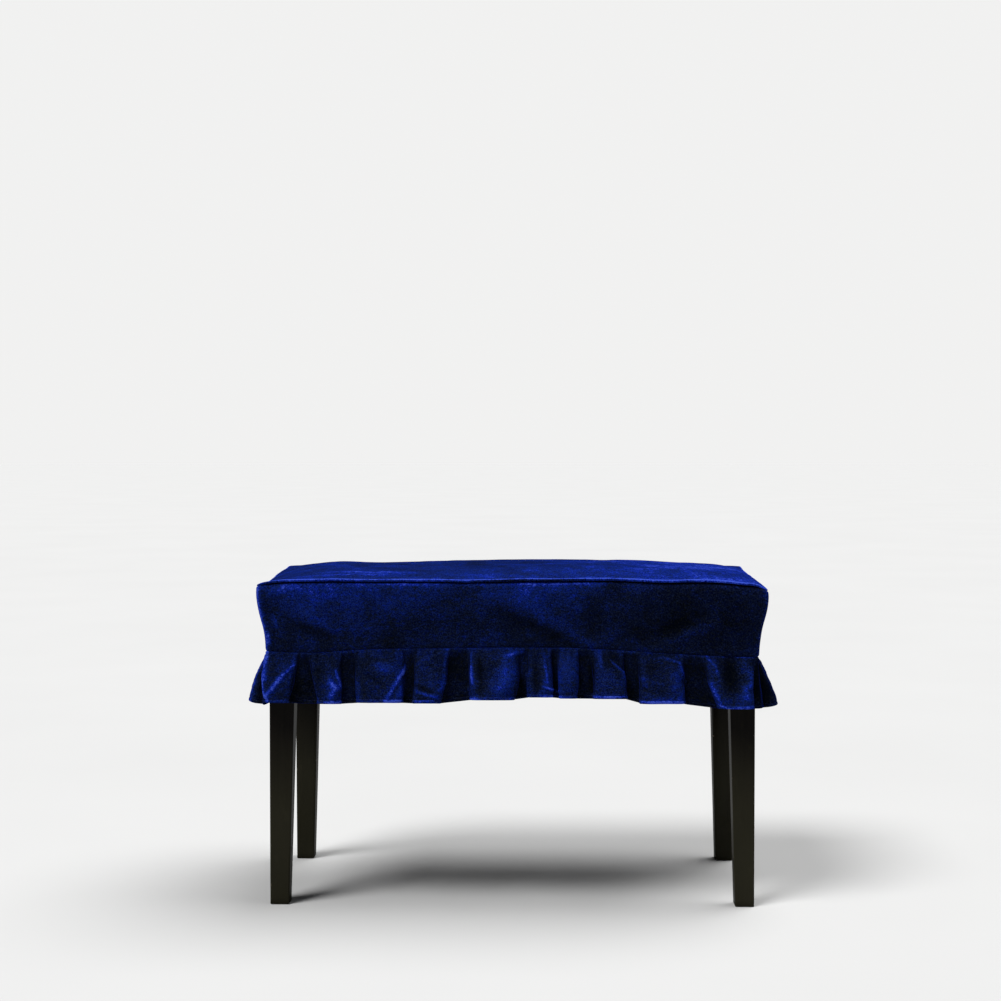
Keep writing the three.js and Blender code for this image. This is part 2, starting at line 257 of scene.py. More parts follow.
# Each row is one pleat: its edges along the side just under the seam and at the hem, how far it stands out,
# and its hem's height
Pleat = namedtuple("Pleat", "upper_start upper_end start end crest hem")
PLEATS = {
    "front": table(
        Pleat,
        (-0.386, -0.32, -0.368, -0.329, 0.025, 0.31),
        (-0.302, -0.257, -0.29, -0.252, 0.027, 0.309),
        (-0.232, -0.157, -0.231, -0.16, 0.028, 0.311),
        (-0.147, -0.098, -0.147, -0.104, 0.026, 0.31),
        (-0.061, 0.017, -0.062, 0.007, 0.033, 0.316),
        (0.023, 0.06, 0.023, 0.063, 0.03, 0.32),
        (0.069, 0.097, 0.07, 0.098, 0.026, 0.318),
        (0.118, 0.164, 0.12, 0.174, 0.03, 0.318),
        (0.189, 0.252, 0.188, 0.257, 0.031, 0.311),
        (0.29, 0.36, 0.302, 0.358, 0.031, 0.304),
    ),
    "right": table(
        Pleat,
        (-0.16, -0.106, -0.158, -0.104, 0.03, 0.303),
        (-0.092, -0.044, -0.088, -0.036, 0.025, 0.304),
        (-0.032, 0.026, -0.028, 0.03, 0.029, 0.305),
        (0.04, 0.092, 0.046, 0.09, 0.026, 0.306),
        (0.104, 0.16, 0.1, 0.158, 0.028, 0.305),
    ),
    "back": table(
        Pleat,
        (-0.362, -0.296, -0.362, -0.29, 0.029, 0.304),
        (-0.282, -0.212, -0.278, -0.218, 0.026, 0.305),
        (-0.2, -0.154, -0.204, -0.15, 0.028, 0.307),
        (-0.14, -0.062, -0.136, -0.068, 0.033, 0.309),
        (-0.05, 0.006, -0.054, 0.012, 0.029, 0.309),
        (0.022, 0.08, 0.028, 0.078, 0.027, 0.308),
        (0.09, 0.148, 0.086, 0.152, 0.03, 0.308),
        (0.166, 0.216, 0.168, 0.212, 0.026, 0.307),
        (0.228, 0.292, 0.222, 0.298, 0.031, 0.306),
        (0.306, 0.36, 0.312, 0.362, 0.027, 0.306),
    ),
    "left": table(
        Pleat,
        (-0.158, -0.1, -0.158, -0.094, 0.028, 0.306),
        (-0.086, -0.038, -0.082, -0.042, 0.025, 0.305),
        (-0.026, 0.024, -0.03, 0.02, 0.029, 0.306),
        (0.036, 0.084, 0.04, 0.086, 0.026, 0.306),
        (0.098, 0.158, 0.094, 0.159, 0.0285, 0.306),
    ),
}

# Section across one pleat: its place in the seam, its place at the hem, its tuck and how far it stands out
Fold = namedtuple("Fold", "seam along tuck out")
PLEAT_SECTION = table(
    Fold,
    (0.05, 0, 1, 0),
    (0.13, 0, 0, 0.42),
    (0.22, 0.08, 0, 0.8),
    (0.35, 0.26, 0, 1),
    (0.5, 0.5, 0, 0.93),
    (0.65, 0.74, 0, 0.98),
    (0.78, 0.92, 0, 0.78),
    (0.87, 1, 0, 0.4),
    (0.95, 1, -1, 0),
)

# Creases, and strokes of painted highlight and painted shade, that cross the pleats and run along their hems
RUFFLE_CREASES = {
    "front": table(
        Crease,
        (-0.366, 0.382, -0.368, 0.364, 0.004, 0.0012, 0.36),
        (-0.369, 0.364, -0.366, 0.342, 0.0036, 0.0012, 0.55),
        (-0.371, 0.352, -0.368, 0.323, 0.0018, 0.0006, 0.7),
        (-0.368, 0.323, -0.362, 0.312, 0.0022, 0.0006, 0.65),
        (-0.324, 0.363, -0.34, 0.348, 0.0018, 0.0022, 0.3),
        (-0.34, 0.348, -0.364, 0.318, 0.0034, 0.0036, 0.45),
        (-0.362, 0.384, -0.335, 0.383, 0.0012, 0, 0.35),
        (-0.35, 0.374, -0.346, 0.318, 0.018, 0, 0.09),
        (-0.29, 0.37, -0.289, 0.319, 0.011, -0.004),
        (-0.269, 0.341, -0.262, 0.329, 0.004, 0.0026, 0.3),
        (-0.262, 0.329, -0.268, 0.315, 0.0048, 0.0026, 0.26),
        (-0.262, 0.356, -0.254, 0.329, 0.0016, 0.0012, 0.5),
        (-0.275, 0.31, -0.252, 0.31, 0.002, 0, 0.5),
        (-0.29, 0.384, -0.272, 0.384, 0.0014, 0, 0.6),
        (-0.225, 0.37, -0.219, 0.322, 0.005, -0.0022),
        (-0.208, 0.364, -0.188, 0.364, 0.005, 0, 0.18),
        (-0.204, 0.361, -0.171, 0.355, 0.006, 0.0026, 0.08),
        (-0.213, 0.349, -0.192, 0.337, 0.0034, -0.0026),
        (-0.16, 0.382, -0.162, 0.322, 0.006, 0, 0.38),
        (-0.159, 0.362, -0.162, 0.35, 0.0018, 0.0014, 0.75),
        (-0.162, 0.353, -0.186, 0.313, 0.0026, 0.0026, 0.42),
        (-0.16, 0.335, -0.172, 0.312, 0.005, 0.001, 0.2),
        (-0.186, 0.312, -0.164, 0.312, 0.002, 0, 0.55),
        (-0.128, 0.366, -0.122, 0.338, 0.016, 0, 0.08),
        (-0.141, 0.334, -0.118, 0.324, 0.0034, -0.0032),
        (-0.14, 0.326, -0.109, 0.317, 0.0022, 0.0016, 0.3),
        (-0.099, 0.372, -0.101, 0.337, 0.002, 0.0014, 0.15),
        (-0.101, 0.337, -0.108, 0.327, 0.002, 0.0012, 0.2),
        (-0.142, 0.312, -0.115, 0.313, 0.0016, 0, 0.35),
        (-0.06, 0.38, -0.059, 0.361, 0.0012, 0.001, 0.4),
        (-0.059, 0.361, -0.057, 0.338, 0.0019, 0.0016, 0.7),
        (-0.064, 0.333, -0.061, 0.319, 0.0013, 0.0008, 0.5),
        (-0.06, 0.316, -0.022, 0.313, 0.0018, 0, 0.55),
        (-0.052, 0.341, -0.046, 0.343, 0.0016, 0.0008, 0.35),
        (-0.046, 0.37, -0.046, 0.326, 0.0065, -0.0046),
        (0.016, 0.384, -0.01, 0.375, 0.0036, 0.0024, 0.3),
        (-0.006, 0.372, -0.008, 0.34, 0.012, 0.003, 0.06),
        (-0.008, 0.34, -0.026, 0.324, 0.011, 0.0028, 0.06),
        (0.016, 0.378, 0.015, 0.352, 0.007, 0, 0.36),
        (0.022, 0.386, 0.023, 0.323, 0.0012, 0.0006, 0.3),
        (0.035, 0.373, 0.038, 0.329, 0.007, -0.0044),
        (0.049, 0.382, 0.05, 0.362, 0.002, 0.0012, 0.12),
        (0.05, 0.365, 0.053, 0.342, 0.0018, 0.0022, 0.28),
        (0.052, 0.341, 0.055, 0.338, 0.002, 0.0008, 0.4),
        (0.047, 0.335, 0.068, 0.325, 0.0016, 0.002, 0.42),
        (0.068, 0.325, 0.073, 0.328, 0.0014, 0.0006, 0.35),
        (0.044, 0.321, 0.084, 0.318, 0.0015, 0, 0.45),
        (0.083, 0.378, 0.084, 0.33, 0.0095, 0.0022, -0.1),
        (0.121, 0.38, 0.121, 0.326, 0.004, -0.004),
        (0.131, 0.384, 0.134, 0.362, 0.003, 0.0026, 0.2),
        (0.145, 0.378, 0.16, 0.358, 0.012, 0, -0.48),
        (0.137, 0.354, 0.142, 0.326, 0.01, 0.001),
        (0.147, 0.371, 0.165, 0.354, 0.0015, 0.002, 0.6),
        (0.165, 0.354, 0.17, 0.334, 0.0018, 0.0016, 0.3),
        (0.12, 0.32, 0.173, 0.32, 0.0018, 0, 0.5),
        (0.2, 0.372, 0.215, 0.33, 0.016, 0, -0.22),
        (0.194, 0.363, 0.222, 0.358, 0.0028, -0.0018),
        (0.194, 0.344, 0.225, 0.338, 0.0028, 0.0022),
        (0.195, 0.329, 0.223, 0.325, 0.0028, -0.0018),
        (0.225, 0.375, 0.249, 0.367, 0.002, 0.0018, 0.3),
        (0.249, 0.367, 0.257, 0.34, 0.002, 0.0016, 0.25),
        (0.257, 0.34, 0.25, 0.322, 0.002, 0.0012, 0.25),
        (0.236, 0.377, 0.24, 0.348, 0.01, 0, -0.22),
        (0.24, 0.358, 0.243, 0.32, 0.01, 0.003, 0.08),
        (0.208, 0.314, 0.254, 0.312, 0.0056, 0, 0.5),
        (0.189, 0.313, 0.252, 0.308, 0.0018, 0, 0.5),
        (0.318, 0.374, 0.328, 0.335, 0.016, 0, -0.5),
        (0.29, 0.376, 0.303, 0.362, 0.0016, 0.0018, 0.3),
        (0.303, 0.362, 0.308, 0.343, 0.0018, 0.002, 0.25),
        (0.296, 0.34, 0.309, 0.309, 0.0028, 0.0036, 0.2),
        (0.325, 0.368, 0.325, 0.333, 0.011, -0.0056),
        (0.355, 0.36, 0.353, 0.336, 0.0036, 0.0026, 0.22),
        (0.353, 0.336, 0.343, 0.33, 0.0036, 0.002, 0.14),
        (0.343, 0.33, 0.347, 0.308, 0.0055, 0.003, 0.14),
        (0.35, 0.338, 0.338, 0.312, 0.009, 0, 0.06),
        (0.301, 0.31, 0.321, 0.303, 0.0016, 0, 0.55),
        (0.321, 0.303, 0.352, 0.305, 0.0018, 0, 0.3),
        (0.308, 0.376, 0.36, 0.376, 0.0012, 0, 0.5),
    ),
    "right": table(
        Crease,
        (-0.148, 0.368, -0.122, 0.33, 0.003, 0.0018, 0.2),
        (-0.154, 0.376, -0.15, 0.306, 0.02, 0, -0.45),
        (-0.072, 0.372, -0.06, 0.318, 0.008, -0.0036),
        (-0.05, 0.36, -0.042, 0.326, 0.0024, 0.0022, 0.25),
        (0.004, 0.372, -0.01, 0.324, 0.01, 0.0036),
        (0.056, 0.35, 0.084, 0.322, 0.003, 0.003, 0.2),
        (0.132, 0.37, 0.124, 0.326, 0.009, -0.0038),
        (0.11, 0.356, 0.118, 0.312, 0.0026, 0.0026, 0.25),
    ),
    "back": table(
        Crease,
        (-0.352, 0.366, -0.318, 0.326, 0.0034, 0.0036, 0.22),
        (-0.246, 0.372, -0.25, 0.324, 0.01, -0.004),
        (-0.226, 0.362, -0.22, 0.318, 0.0024, 0.0024, 0.25),
        (-0.18, 0.368, -0.172, 0.322, 0.008, 0.0034),
        (-0.128, 0.372, -0.124, 0.33, 0.007, -0.0036),
        (-0.076, 0.366, -0.104, 0.316, 0.0032, 0.0038, 0.22),
        (-0.03, 0.372, -0.018, 0.326, 0.009, 0.0034),
        (0.036, 0.356, 0.066, 0.322, 0.003, 0.0032, 0.22),
        (0.118, 0.374, 0.12, 0.328, 0.01, -0.004),
        (0.096, 0.362, 0.104, 0.316, 0.0024, 0.0026, 0.25),
        (0.19, 0.37, 0.184, 0.324, 0.008, 0.0034),
        (0.284, 0.368, 0.248, 0.322, 0.0034, 0.0038, 0.22),
        (0.336, 0.372, 0.33, 0.328, 0.009, -0.0036),
    ),
    "left": table(
        Crease,
        (-0.14, 0.372, -0.132, 0.326, 0.009, -0.0036),
        (-0.108, 0.362, -0.118, 0.316, 0.0026, 0.0028, 0.22),
        (-0.064, 0.366, -0.052, 0.322, 0.008, 0.0034),
        (0.012, 0.36, -0.012, 0.322, 0.003, 0.0032, 0.22),
        (0.06, 0.372, 0.062, 0.328, 0.007, -0.0034),
        (0.108, 0.366, 0.132, 0.326, 0.0032, 0.0018, 0.2),
        (0.162, 0.376, 0.164, 0.31, 0.006, 0, -0.1),
        (0.146, 0.38, 0.147, 0.306, 0.0056, 0, 0.66),
        (0.164, 0.386, 0.166, 0.37, 0.005, 0, 0.7),
    ),
}

# Unevenness of the cloth: wave length, depth and seed of each layer
Waver = namedtuple("Waver", "cell depth seed")
TOP_WAVER = table(Waver, (0.070, 0.001, 11), (0.024, 0.0004, 12))
DROP_WAVER = table(Waver, (0.060, 0.0014, 21), (0.022, 0.0006, 22))
RUFFLE_WAVER = table(Waver, (0.034, 0.002, 31), (0.013, 0.0007, 32))

# Small gathers under a seam: their pitch and depth, how far down they reach and where the seam still holds
# them flat, and how they drift along the seam
Pucker = namedtuple("Pucker", "pitch depth reach held drift drift_cell seed")
RUFFLE_PUCKER = Pucker(0.010, 0.0012, 0.012, 0.004, 2.4, 0.030, 41)
DROP_PUCKER = Pucker(0.011, 0.0008, 0.014, 0.005, 3.0, 0.040, 42)

# Painted light and painted shade on the velvet: the top painted lighter, the drops and pleat faces darker,
# painted highlights along the rim, under it, under the seam, along the hem and where pleats turn, painted
# shade in the rim's groove and in the folds between pleats, and how far each reaches
PAINTED_LIGHT = Sizes(
    top=0.30, rim=1.10, drop=-0.14, groove=-0.75, under_rim=0.20, seam=0.30, hem=0.40,
    crest=-0.07, turn=0.16, fold=-0.62, fold_start=0.3,
)
PAINTED_LIGHT_REACH = Sizes(groove=0.0024, under_rim=0.014, seam=0.0016, hem=0.004, corner=0.0036, fold=0.020)
# Painted highlight along each corner seam of the drops, brightest at the front left corner
PAINTED_CORNER_HIGHLIGHT = {"front_left": 1.15, "front_right": 0.45, "back_right": 0.60, "back_left": 0.60}

# Painted highlight along the rim's ridge, uneven patches of pile all over, and the painted highlight or
# painted shade that a crease's height and its painted shine give
PAINTED_RIM_HIGHLIGHT = Sizes(inset=0.0018, reach=0.0012, uneven=0.45, cell=0.009, seed=61)
PILE_PATCH = Sizes(depth=0.26, cell=0.030, seed=51)
PAINTED_CREASE_LIGHT = Sizes(ridge=130, stroke=1.5)

# How far out in its pleat cloth starts to show and shows fully, across which the folds' painted shade gives
# way, and where it turns to the side, which gets a painted highlight, and how wide that is
PLEAT_STAND = Sizes(hidden=0.1, shown=0.8, turn=0.72, turn_reach=0.16)

# Hem stitches, each from a bead that measures one across
STITCH = Sizes(pitch=0.0032, length=0.0024, thickness=0.0006, uneven=0.14, seed=5)
BEAD = Sizes(segments=6, rings=5, radius=0.5)

# Leg: its foot, its rounded edges, and the points on its flat faces beside an edge with how worn they are
LEG = Sizes(
    foot=0.0285, foot_chamfer=0.0012, first_row=0.01, rows=30, rounding=0.0022, bends=5,
    flat_points=(0.0015, 0.004, 0.009), flat_wear=(0.35, 0, 0),
)
RAIL = Sizes(rounding=0.0016, segments=3, profile=0.5)

# Seat: the height of its edge, its crown and dropped corners, the least height of its side, and its firmness
SEAT = Sizes(
    edge=0.484, crown=0.013, power=4, corner_drop=0.006, corner_sharpness=8,
    cells=(60, 28), least_side=0.0012, merge=1e-6, fill=0.9,
)
SEAT_ROLL = table(
    RollPoint,
    (0.016, 0), (0.011, -0.0006), (0.007, -0.0018), (0.0038, -0.0038), (0.0016, -0.0066),
    (0.0004, -0.0105), (0, -0.016), (0, -0.03), (0, -0.0424),
)

# Layers of the velvet's pile: how fine each is along and across the flat cloth, its unevenness, and what it
# adds to the lay of the pile and to its relief
Layer = namedtuple("Layer", "scale detail rough distortion lay relief")
GRAIN = Layer((640, 540, 1), 2, 0.6, 0.8, 0.12, 0.6)
TOP_GRAIN = Layer((640, 400, 1), 2, 0.6, 0.8, 0.12, 0.6)
TUFTS = Layer((150, 260, 1), 2, 0.5, 1.6, 0.30, 0.7)
PATCHES = Layer((38, 38, 38), 3, 0.55, 1.2, 0.18, 1.6)

# Velvet: how its lay, with the painted highlights and painted shade on its points, becomes a shade, where its
# tips cover its roots, its relief, its roughness and its sheen
VELVET = Sizes(
    lay=0.20, dark_lay=0.36, bright_lay=0.68, pile=0.55, tip_pile=0.08, tip_start=0.43, tip_full=0.58,
    relief=0.55, depth=0.0012, roughness=0.9, dull=0.98, smoother=0.22,
)
VELVET_SHEEN = {
    "Sheen Weight": 0.22,
    "Sheen Roughness": 0.32,
    "Sheen Tint": (0.02, 0.075, 0.90, 1),
    "Specular IOR Level": 0,
}

# Tips of the velvet's pile, from its darkest shade, where painted shade lies, to its brightest, where painted
# highlights lie, and how much of each colour is left at its roots
TIPS = (
    (0.00, (0.0070, 0.0076, 0.0070)),
    (0.38, (0.0075, 0.0124, 0.0330)),
    (0.72, (0.0064, 0.0200, 0.1440)),
    (0.87, (0.0058, 0.0215, 0.3000)),
    (1.00, (0.0350, 0.0700, 0.4400)),
)
ROOTS = (0.04, 0.15, 0.55, 1)

# Thread: its sheen, how fine its twist is, and its roughness
THREAD_SHEEN = {"Sheen Weight": 0.2, "Sheen Tint": (0.1, 0.2, 0.7, 1)}
THREAD = Sizes(twist=1400, roughness=0.7, dull=0.75, smoother=0.2)
THREAD_COLOURS = ((0.3, (0.004, 0.009, 0.05)), (0.75, (0.02, 0.045, 0.24)))

# Black lacquer: its coat, how fine its grain, clouds, chips and scuffs are and where they start, the painted
# light low on the legs where they come out of the cover's shadow, the dust in its scuffs, its relief and its
# roughness
LACQUER_COAT = {"Coat Roughness": 0.12, "Coat IOR": 1.4, "Specular IOR Level": 0}
LACQUER = Sizes(
    grain=(260, 260, 14), clouds=16, chips=150, chip_start=0.69, chip_full=0.74, chip_cover=0.8,
    scuffs=(90, 90, 30), scuff_start=0.62, scuff_full=0.78,
    film_top=0.27, film_full=0.14, film=0.30, film_clouds=0.18, film_scuffs=0.10,
    relief=0.30, depth=0.0004, relief_grain=0.35, relief_chips=0.8,
    roughness=0.3, smooth=0.20, rough_clouds=0.16, rough_scuffs=0.20, rough_chips=0.25, coat=0.12,
)
LACQUER_COLOURS = ((0.3, (0.0020, 0.0015, 0.0012)), (0.7, (0.0042, 0.0032, 0.0026)))
# Olive colour of the painted light low on the legs and of the dust in their scuffs
PAINTED_LIGHT_AND_DUST = (0.040, 0.038, 0.0215, 1)
BARE_WOOD = (0.165, 0.135, 0.095, 1)

# Seat covering: how fine its weave and clouds are, the share of each in its shade, its relief and roughness
SEAT_CLOTH = Sizes(
    threads=320, clouds=22, weave_share=0.6, cloud_share=0.4, relief=0.4, depth=0.0003,
    sheen=0.15, roughness=0.8, dull=0.9, smoother=0.2,
)
SEAT_COLOURS = ((0.2, (0.006, 0.006, 0.006)), (0.8, (0.022, 0.021, 0.020)))

# Floor paint: how fine its clouds are, and its roughness
FLOOR_PAINT = Sizes(clouds=1.4, roughness=0.9)
FLOOR_COLOURS = ((0.2, (0.53, 0.53, 0.527)), (0.8, (0.55, 0.55, 0.547)))

# Sides of the bench in turn: the directions along and out of each, and the corners where it starts and ends
Side = namedtuple("Side", "name along out first last long")
SIDES = table(
    Side,
    ("front", (1, 0), (0, -1), "front_left", "front_right", True),
    ("right", (0, 1), (1, 0), "front_right", "back_right", False),
    ("back", (-1, 0), (0, 1), "back_right", "back_left", True),
    ("left", (0, -1), (-1, 0), "back_left", "front_left", False),
)

# Cells of uneven values before they repeat, the least length that a direction is divided by, and the sockets
# of a Mix node that take and give colours
NOISE_CELLS = 32
TINY = 1e-12
MIX_COLOURS = Sizes(first=6, second=7, result=2)


def lerp(low, high, share):
    return low + (high - low) * share


def ease(value, low, high):
    share = np.clip((value - low) / (high - low), 0, 1)
    return share * share * (3 - 2 * share)


def unit(vectors):
    return vectors / np.maximum(np.linalg.norm(vectors, axis=-1, keepdims=True), TINY)


def line_of(distance, reach):
    """A soft narrow line at no distance that fades over its reach."""
    return np.exp(-((distance / reach) ** 2))


def soft_noise(points, cell, seed):
    """Smooth uneven values from -1 to 1 over points in space, with one wave about every two cells."""
    lattice = np.random.default_rng(seed).uniform(-1, 1, (NOISE_CELLS, NOISE_CELLS, NOISE_CELLS))
    base = np.floor(points / cell).astype(int)
    share = ease(points / cell - base, 0, 1)
    total = np.zeros(points.shape[:-1])
    for corner in np.ndindex(2, 2, 2):
        weight = np.prod(np.where(corner, share, 1 - share), axis=-1)
        i, j, k = np.moveaxis((base + corner) % NOISE_CELLS, -1, 0)
        total += weight * lattice[i, j, k]
    return total


def wavering(points, layers):
    return sum(layer.depth * soft_noise(points, layer.cell, layer.seed) for layer in layers)


def uneven_brushing(points):
    return PILE_PATCH.depth * soft_noise(points, PILE_PATCH.cell, PILE_PATCH.seed)


def puckering(points, run, below, pucker):
    """Small gathers under a seam, which die out further down."""
    drift = pucker.drift * soft_noise(points, pucker.drift_cell, pucker.seed)
    depth = pucker.depth * ease(below, 0, pucker.held) * np.exp(-below / pucker.reach)
    return depth * np.sin(2 * np.pi * run / pucker.pitch + drift)


def creasing(along, up, creases):
    """How far soft creases lift the cloth at places along a side and up it, and the painted highlight and
    painted shade they put on it.
    """
    lift = np.zeros(np.broadcast(along, up).shape)
    shine = lift.copy()
    for crease in creases:
        run_along = crease.to_along - crease.from_along
        run_up = crease.to_up - crease.from_up
        gone = (along - crease.from_along) * run_along + (up - crease.from_up) * run_up
        share = np.clip(gone / (run_along**2 + run_up**2), 0, 1)
        off_along = along - crease.from_along - share * run_along
        off_up = up - crease.from_up - share * run_up
        wave = np.sin(np.pi * lerp(CREASE_TAPER.start, CREASE_TAPER.end, share))
        near = np.exp(-(off_along**2 + off_up**2) / crease.half_width**2)
        near *= lerp(CREASE_TAPER.least, 1, wave)
        lift += crease.height * near
        # Painted highlight on a ridge and painted shade in a trough, with the crease's own painted shine
        shine += (PAINTED_CREASE_LIGHT.ridge * crease.height + PAINTED_CREASE_LIGHT.stroke * crease.shine) * near
    return np.stack([lift, shine])


def half_sizes(side, x, y):
    """Half a side's own length, and its distance from the middle."""
    return (x, y) if side.long else (y, x)


def beside(side, along, distance, height):
    """Points beside the bench: a place along a side, a distance from the middle and a height."""
    x = side.along[0] * along + side.out[0] * distance
    y = side.along[1] * along + side.out[1] * distance
    return np.stack(np.broadcast_arrays(x, y, height), axis=-1)


def line_height(points, place):
    """Height at places along a smooth line through points."""
    knots = np.array([point.place for point in points])
    heights = np.array([point.height for point in points])
    slopes = np.gradient(heights, knots)
    left = np.clip(np.searchsorted(knots, place) - 1, 0, len(knots) - 2)
    gap = knots[left + 1] - knots[left]
    share = np.clip((place - knots[left]) / gap, 0, 1)
    rest = 1 - share
    level = (1 + 2 * share) * rest**2 * heights[left] + share**2 * (3 - 2 * share) * heights[left + 1]
    return level + gap * (share * rest**2 * slopes[left] - share**2 * rest * slopes[left + 1])


def turned_in(fall, points):
    return np.interp(fall, [point.distance for point in points], [point.inset for point in points])


# Meshes


def in_scene(name, data):
    """A mesh, lamp or camera as an object in the scene."""
    placed = bpy.data.objects.new(name, data)
    bpy.context.scene.collection.objects.link(placed)
    return placed


def give_points(mesh, name, values):
    """Keeps one value for each point of a mesh, which its finish reads."""
    mesh.attributes.new(name, "FLOAT", "POINT").data.foreach_set("value", np.array(values, np.float32))


def facing(grid, ring):
    """The direction square to a grid of points at each of them."""
    down = np.gradient(grid, axis=0)
    along = np.roll(grid, -1, axis=1) - np.roll(grid, 1, axis=1) if ring else np.gradient(grid, axis=1)
    return unit(np.cross(down, along))


def border_walks(rows, columns, ring):
    """The open edges of a grid as walks of (row, column) places that end where they start."""
    last_row = rows - 1
    last_column = columns - 1
    if ring:
        upper = [(0, column) for column in range(columns + 1)]
        lower = [(last_row, column) for column in range(columns, -1, -1)]
        return [upper, lower]
    upper = [(0, column) for column in range(columns)]
    right = [(row, last_column) for row in range(1, rows)]
    lower = [(last_row, column) for column in range(last_column - 1, -1, -1)]
    left = [(row, 0) for row in range(last_row - 1, -1, -1)]
    return [upper + right + lower + left]


def closed_shell(name, outer, inner, edge, cut, pile, ring=False):
    """A closed mesh between two grids of points, rounded over at its edges, with its flat cut as UV map."""
    rows, columns = outer.shape[:2]
    across = columns if ring else columns - 1
    points = [*outer.reshape(-1, 3), *inner.reshape(-1, 3)]
    point_pile_and_painted_light = [*pile.ravel(), *pile.ravel()]
    faces = []
    places = []

    def at(layer, row, column):
        return (layer * rows + row) * columns + column % columns

    for row in range(rows - 1):
        for column in range(across):
            square = [(row, column), (row + 1, column), (row + 1, column + 1), (row, column + 1)]
            faces.append([at(0, *place) for place in square])
            faces.append([at(1, *place) for place in reversed(square)])
            places.extend([*square, *reversed(square)])
    for walk in border_walks(rows, columns, ring):
        first = len(points)
        around = len(walk) - 1
        points.extend(edge[row, column % columns] for row, column in walk[:-1])
        point_pile_and_painted_light.extend(pile[row, column % columns] for row, column in walk[:-1])
        for step, (here, there) in enumerate(zip(walk, walk[1:])):
            rim = (first + step, first + (step + 1) % around)
            faces.append([at(0, *here), at(0, *there), rim[1], rim[0]])
            faces.append([rim[0], rim[1], at(1, *there), at(1, *here)])
            places.extend([here, there, there, here, here, there, there, here])
    mesh = bpy.data.meshes.new(name)
    mesh.from_pydata(np.array(points).tolist(), [], faces)
    spots = np.array(places)
    flat = mesh.uv_layers.new(name="cut")
    flat.uv.foreach_set("vector", cut[spots[:, 0], spots[:, 1]].astype(np.float32).ravel())
    # Each point keeps its pile's uneven patches together with its painted highlights and painted shade
    give_points(mesh, "pile", point_pile_and_painted_light)
    mesh.shade_smooth()
    return in_scene(name, mesh)


def flat_cut(grid, ring, start):
    """Where each point of a draped grid lies on the flat cloth, from lengths along its rows and columns."""
    wrapped = np.concatenate([grid, grid[:, :1]], axis=1) if ring else grid
    middle = wrapped[len(wrapped) // 2]
    run = np.concatenate([[0], np.cumsum(np.linalg.norm(np.diff(middle, axis=0), axis=1))])
    fall = np.linalg.norm(np.diff(wrapped, axis=0), axis=-1).mean(axis=1)
    depth = np.concatenate([[0], np.cumsum(fall)])
    return np.stack(np.meshgrid(run + start, -depth), axis=-1)


def sew_sheet(name, middle, thickness, start, pile, ring=False):
    """A sheet of cloth about a grid of points that runs through its middle."""
    normal = facing(middle, ring)
    half = np.broadcast_to(thickness, middle.shape[:2])[..., None] / 2
    inward = np.zeros_like(middle)
    inward[0] += middle[1] - middle[0]
    inward[-1] += middle[-2] - middle[-1]
    if not ring:
        inward[:, 0] += middle[:, 1] - middle[:, 0]
        inward[:, -1] += middle[:, -2] - middle[:, -1]
    edge = middle - unit(inward) * half * 2 * CLOTH.edge_round
    cut = flat_cut(middle, ring, start)
    return closed_shell(name, middle + normal * half, middle - normal * half, edge, cut, pile, ring)


def rolled(half, cells, roll):
    """Places from -half to half whose two ends follow a rolled edge, with the lift at each of them and the
    place whose level it keeps: past the outermost point the edge turns under at the rim's own level."""
    inset = np.array([point.inset for point in roll])[1:]
    lift = np.array([point.lift for point in roll])[1:]
    inner = half - roll[0].inset
    even = np.linspace(-inner, inner, cells + 1)
    level = np.where(np.arange(len(inset)) > inset.argmin(), half, half - inset)
    place = np.concatenate([inset[::-1] - half, even, half - inset])
    levels = np.concatenate([-level[::-1], even, level])
    lifts = np.concatenate([lift[::-1], np.zeros(cells + 1), lift])
    return place, lifts, levels


def rolled_grid(half_x, half_y, cells, roll, height_at):
    """A panel whose four edges follow a rolled section."""
    x, lift_x, level_x = rolled(half_x, cells[0], roll)
    y, lift_y, level_y = rolled(half_y, cells[1], roll)
    x, y = np.meshgrid(x, y[::-1])
    lift_x, lift_y = np.meshgrid(lift_x, lift_y[::-1])
    level_x, level_y = np.meshgrid(level_x, level_y[::-1])
    falling = (lift_x < 0) | (lift_y < 0)
    lift = np.where(falling, np.minimum(lift_x, lift_y), np.maximum(lift_x, lift_y))
    return np.stack([x, y, height_at(level_x, level_y) + lift], axis=-1)


# Cover


def top_height(x, y):
    """Height of the top panel, through the middle of its cloth: its four rims, its crown and its lumps."""
    off_x = np.clip(x / TOP.half_x, -1, 1)
    off_y = np.clip(y / TOP.half_y, -1, 1)
    from_left = (off_x + 1) / 2
    from_front = (off_y + 1) / 2
    ends = lerp(line_height(RIMS["left"], y), line_height(RIMS["right"], y), from_left)
    sides = lerp(line_height(RIMS["front"], x), line_height(RIMS["back"], x), from_front)
    front_corners = lerp(RIMS["front"][0].height, RIMS["front"][-1].height, from_left)
    back_corners = lerp(RIMS["back"][0].height, RIMS["back"][-1].height, from_left)
    crown = TOP.crown * (1 - np.abs(off_x) ** TOP.power_x) * (1 - np.abs(off_y) ** TOP.power_y)
    lumps = sum(lump.height * line_of(np.hypot(x - lump.x, y - lump.y), lump.radius) for lump in TOP_LUMPS)
    uneven = wavering(np.stack(np.broadcast_arrays(x, y, 0.0), axis=-1), TOP_WAVER)
    return ends + sides - lerp(front_corners, back_corners, from_front) + crown + lumps + uneven


def bowed(x, y):
    """Places on the top panel moved in where its short rims bow in between the corners."""
    return x * (1 - TOP.bow / TOP.half_x * (1 - (y / TOP.half_y) ** TOP.bow_power))


def rounded_corners(x, y):
    """How far the top panel's corners are drawn in, along each direction."""
    near = np.abs(x * y / (TOP.half_x * TOP.half_y)) ** TOP.corner_power * TOP.corner_round
    return -np.sign(x) * near, -np.sign(y) * near


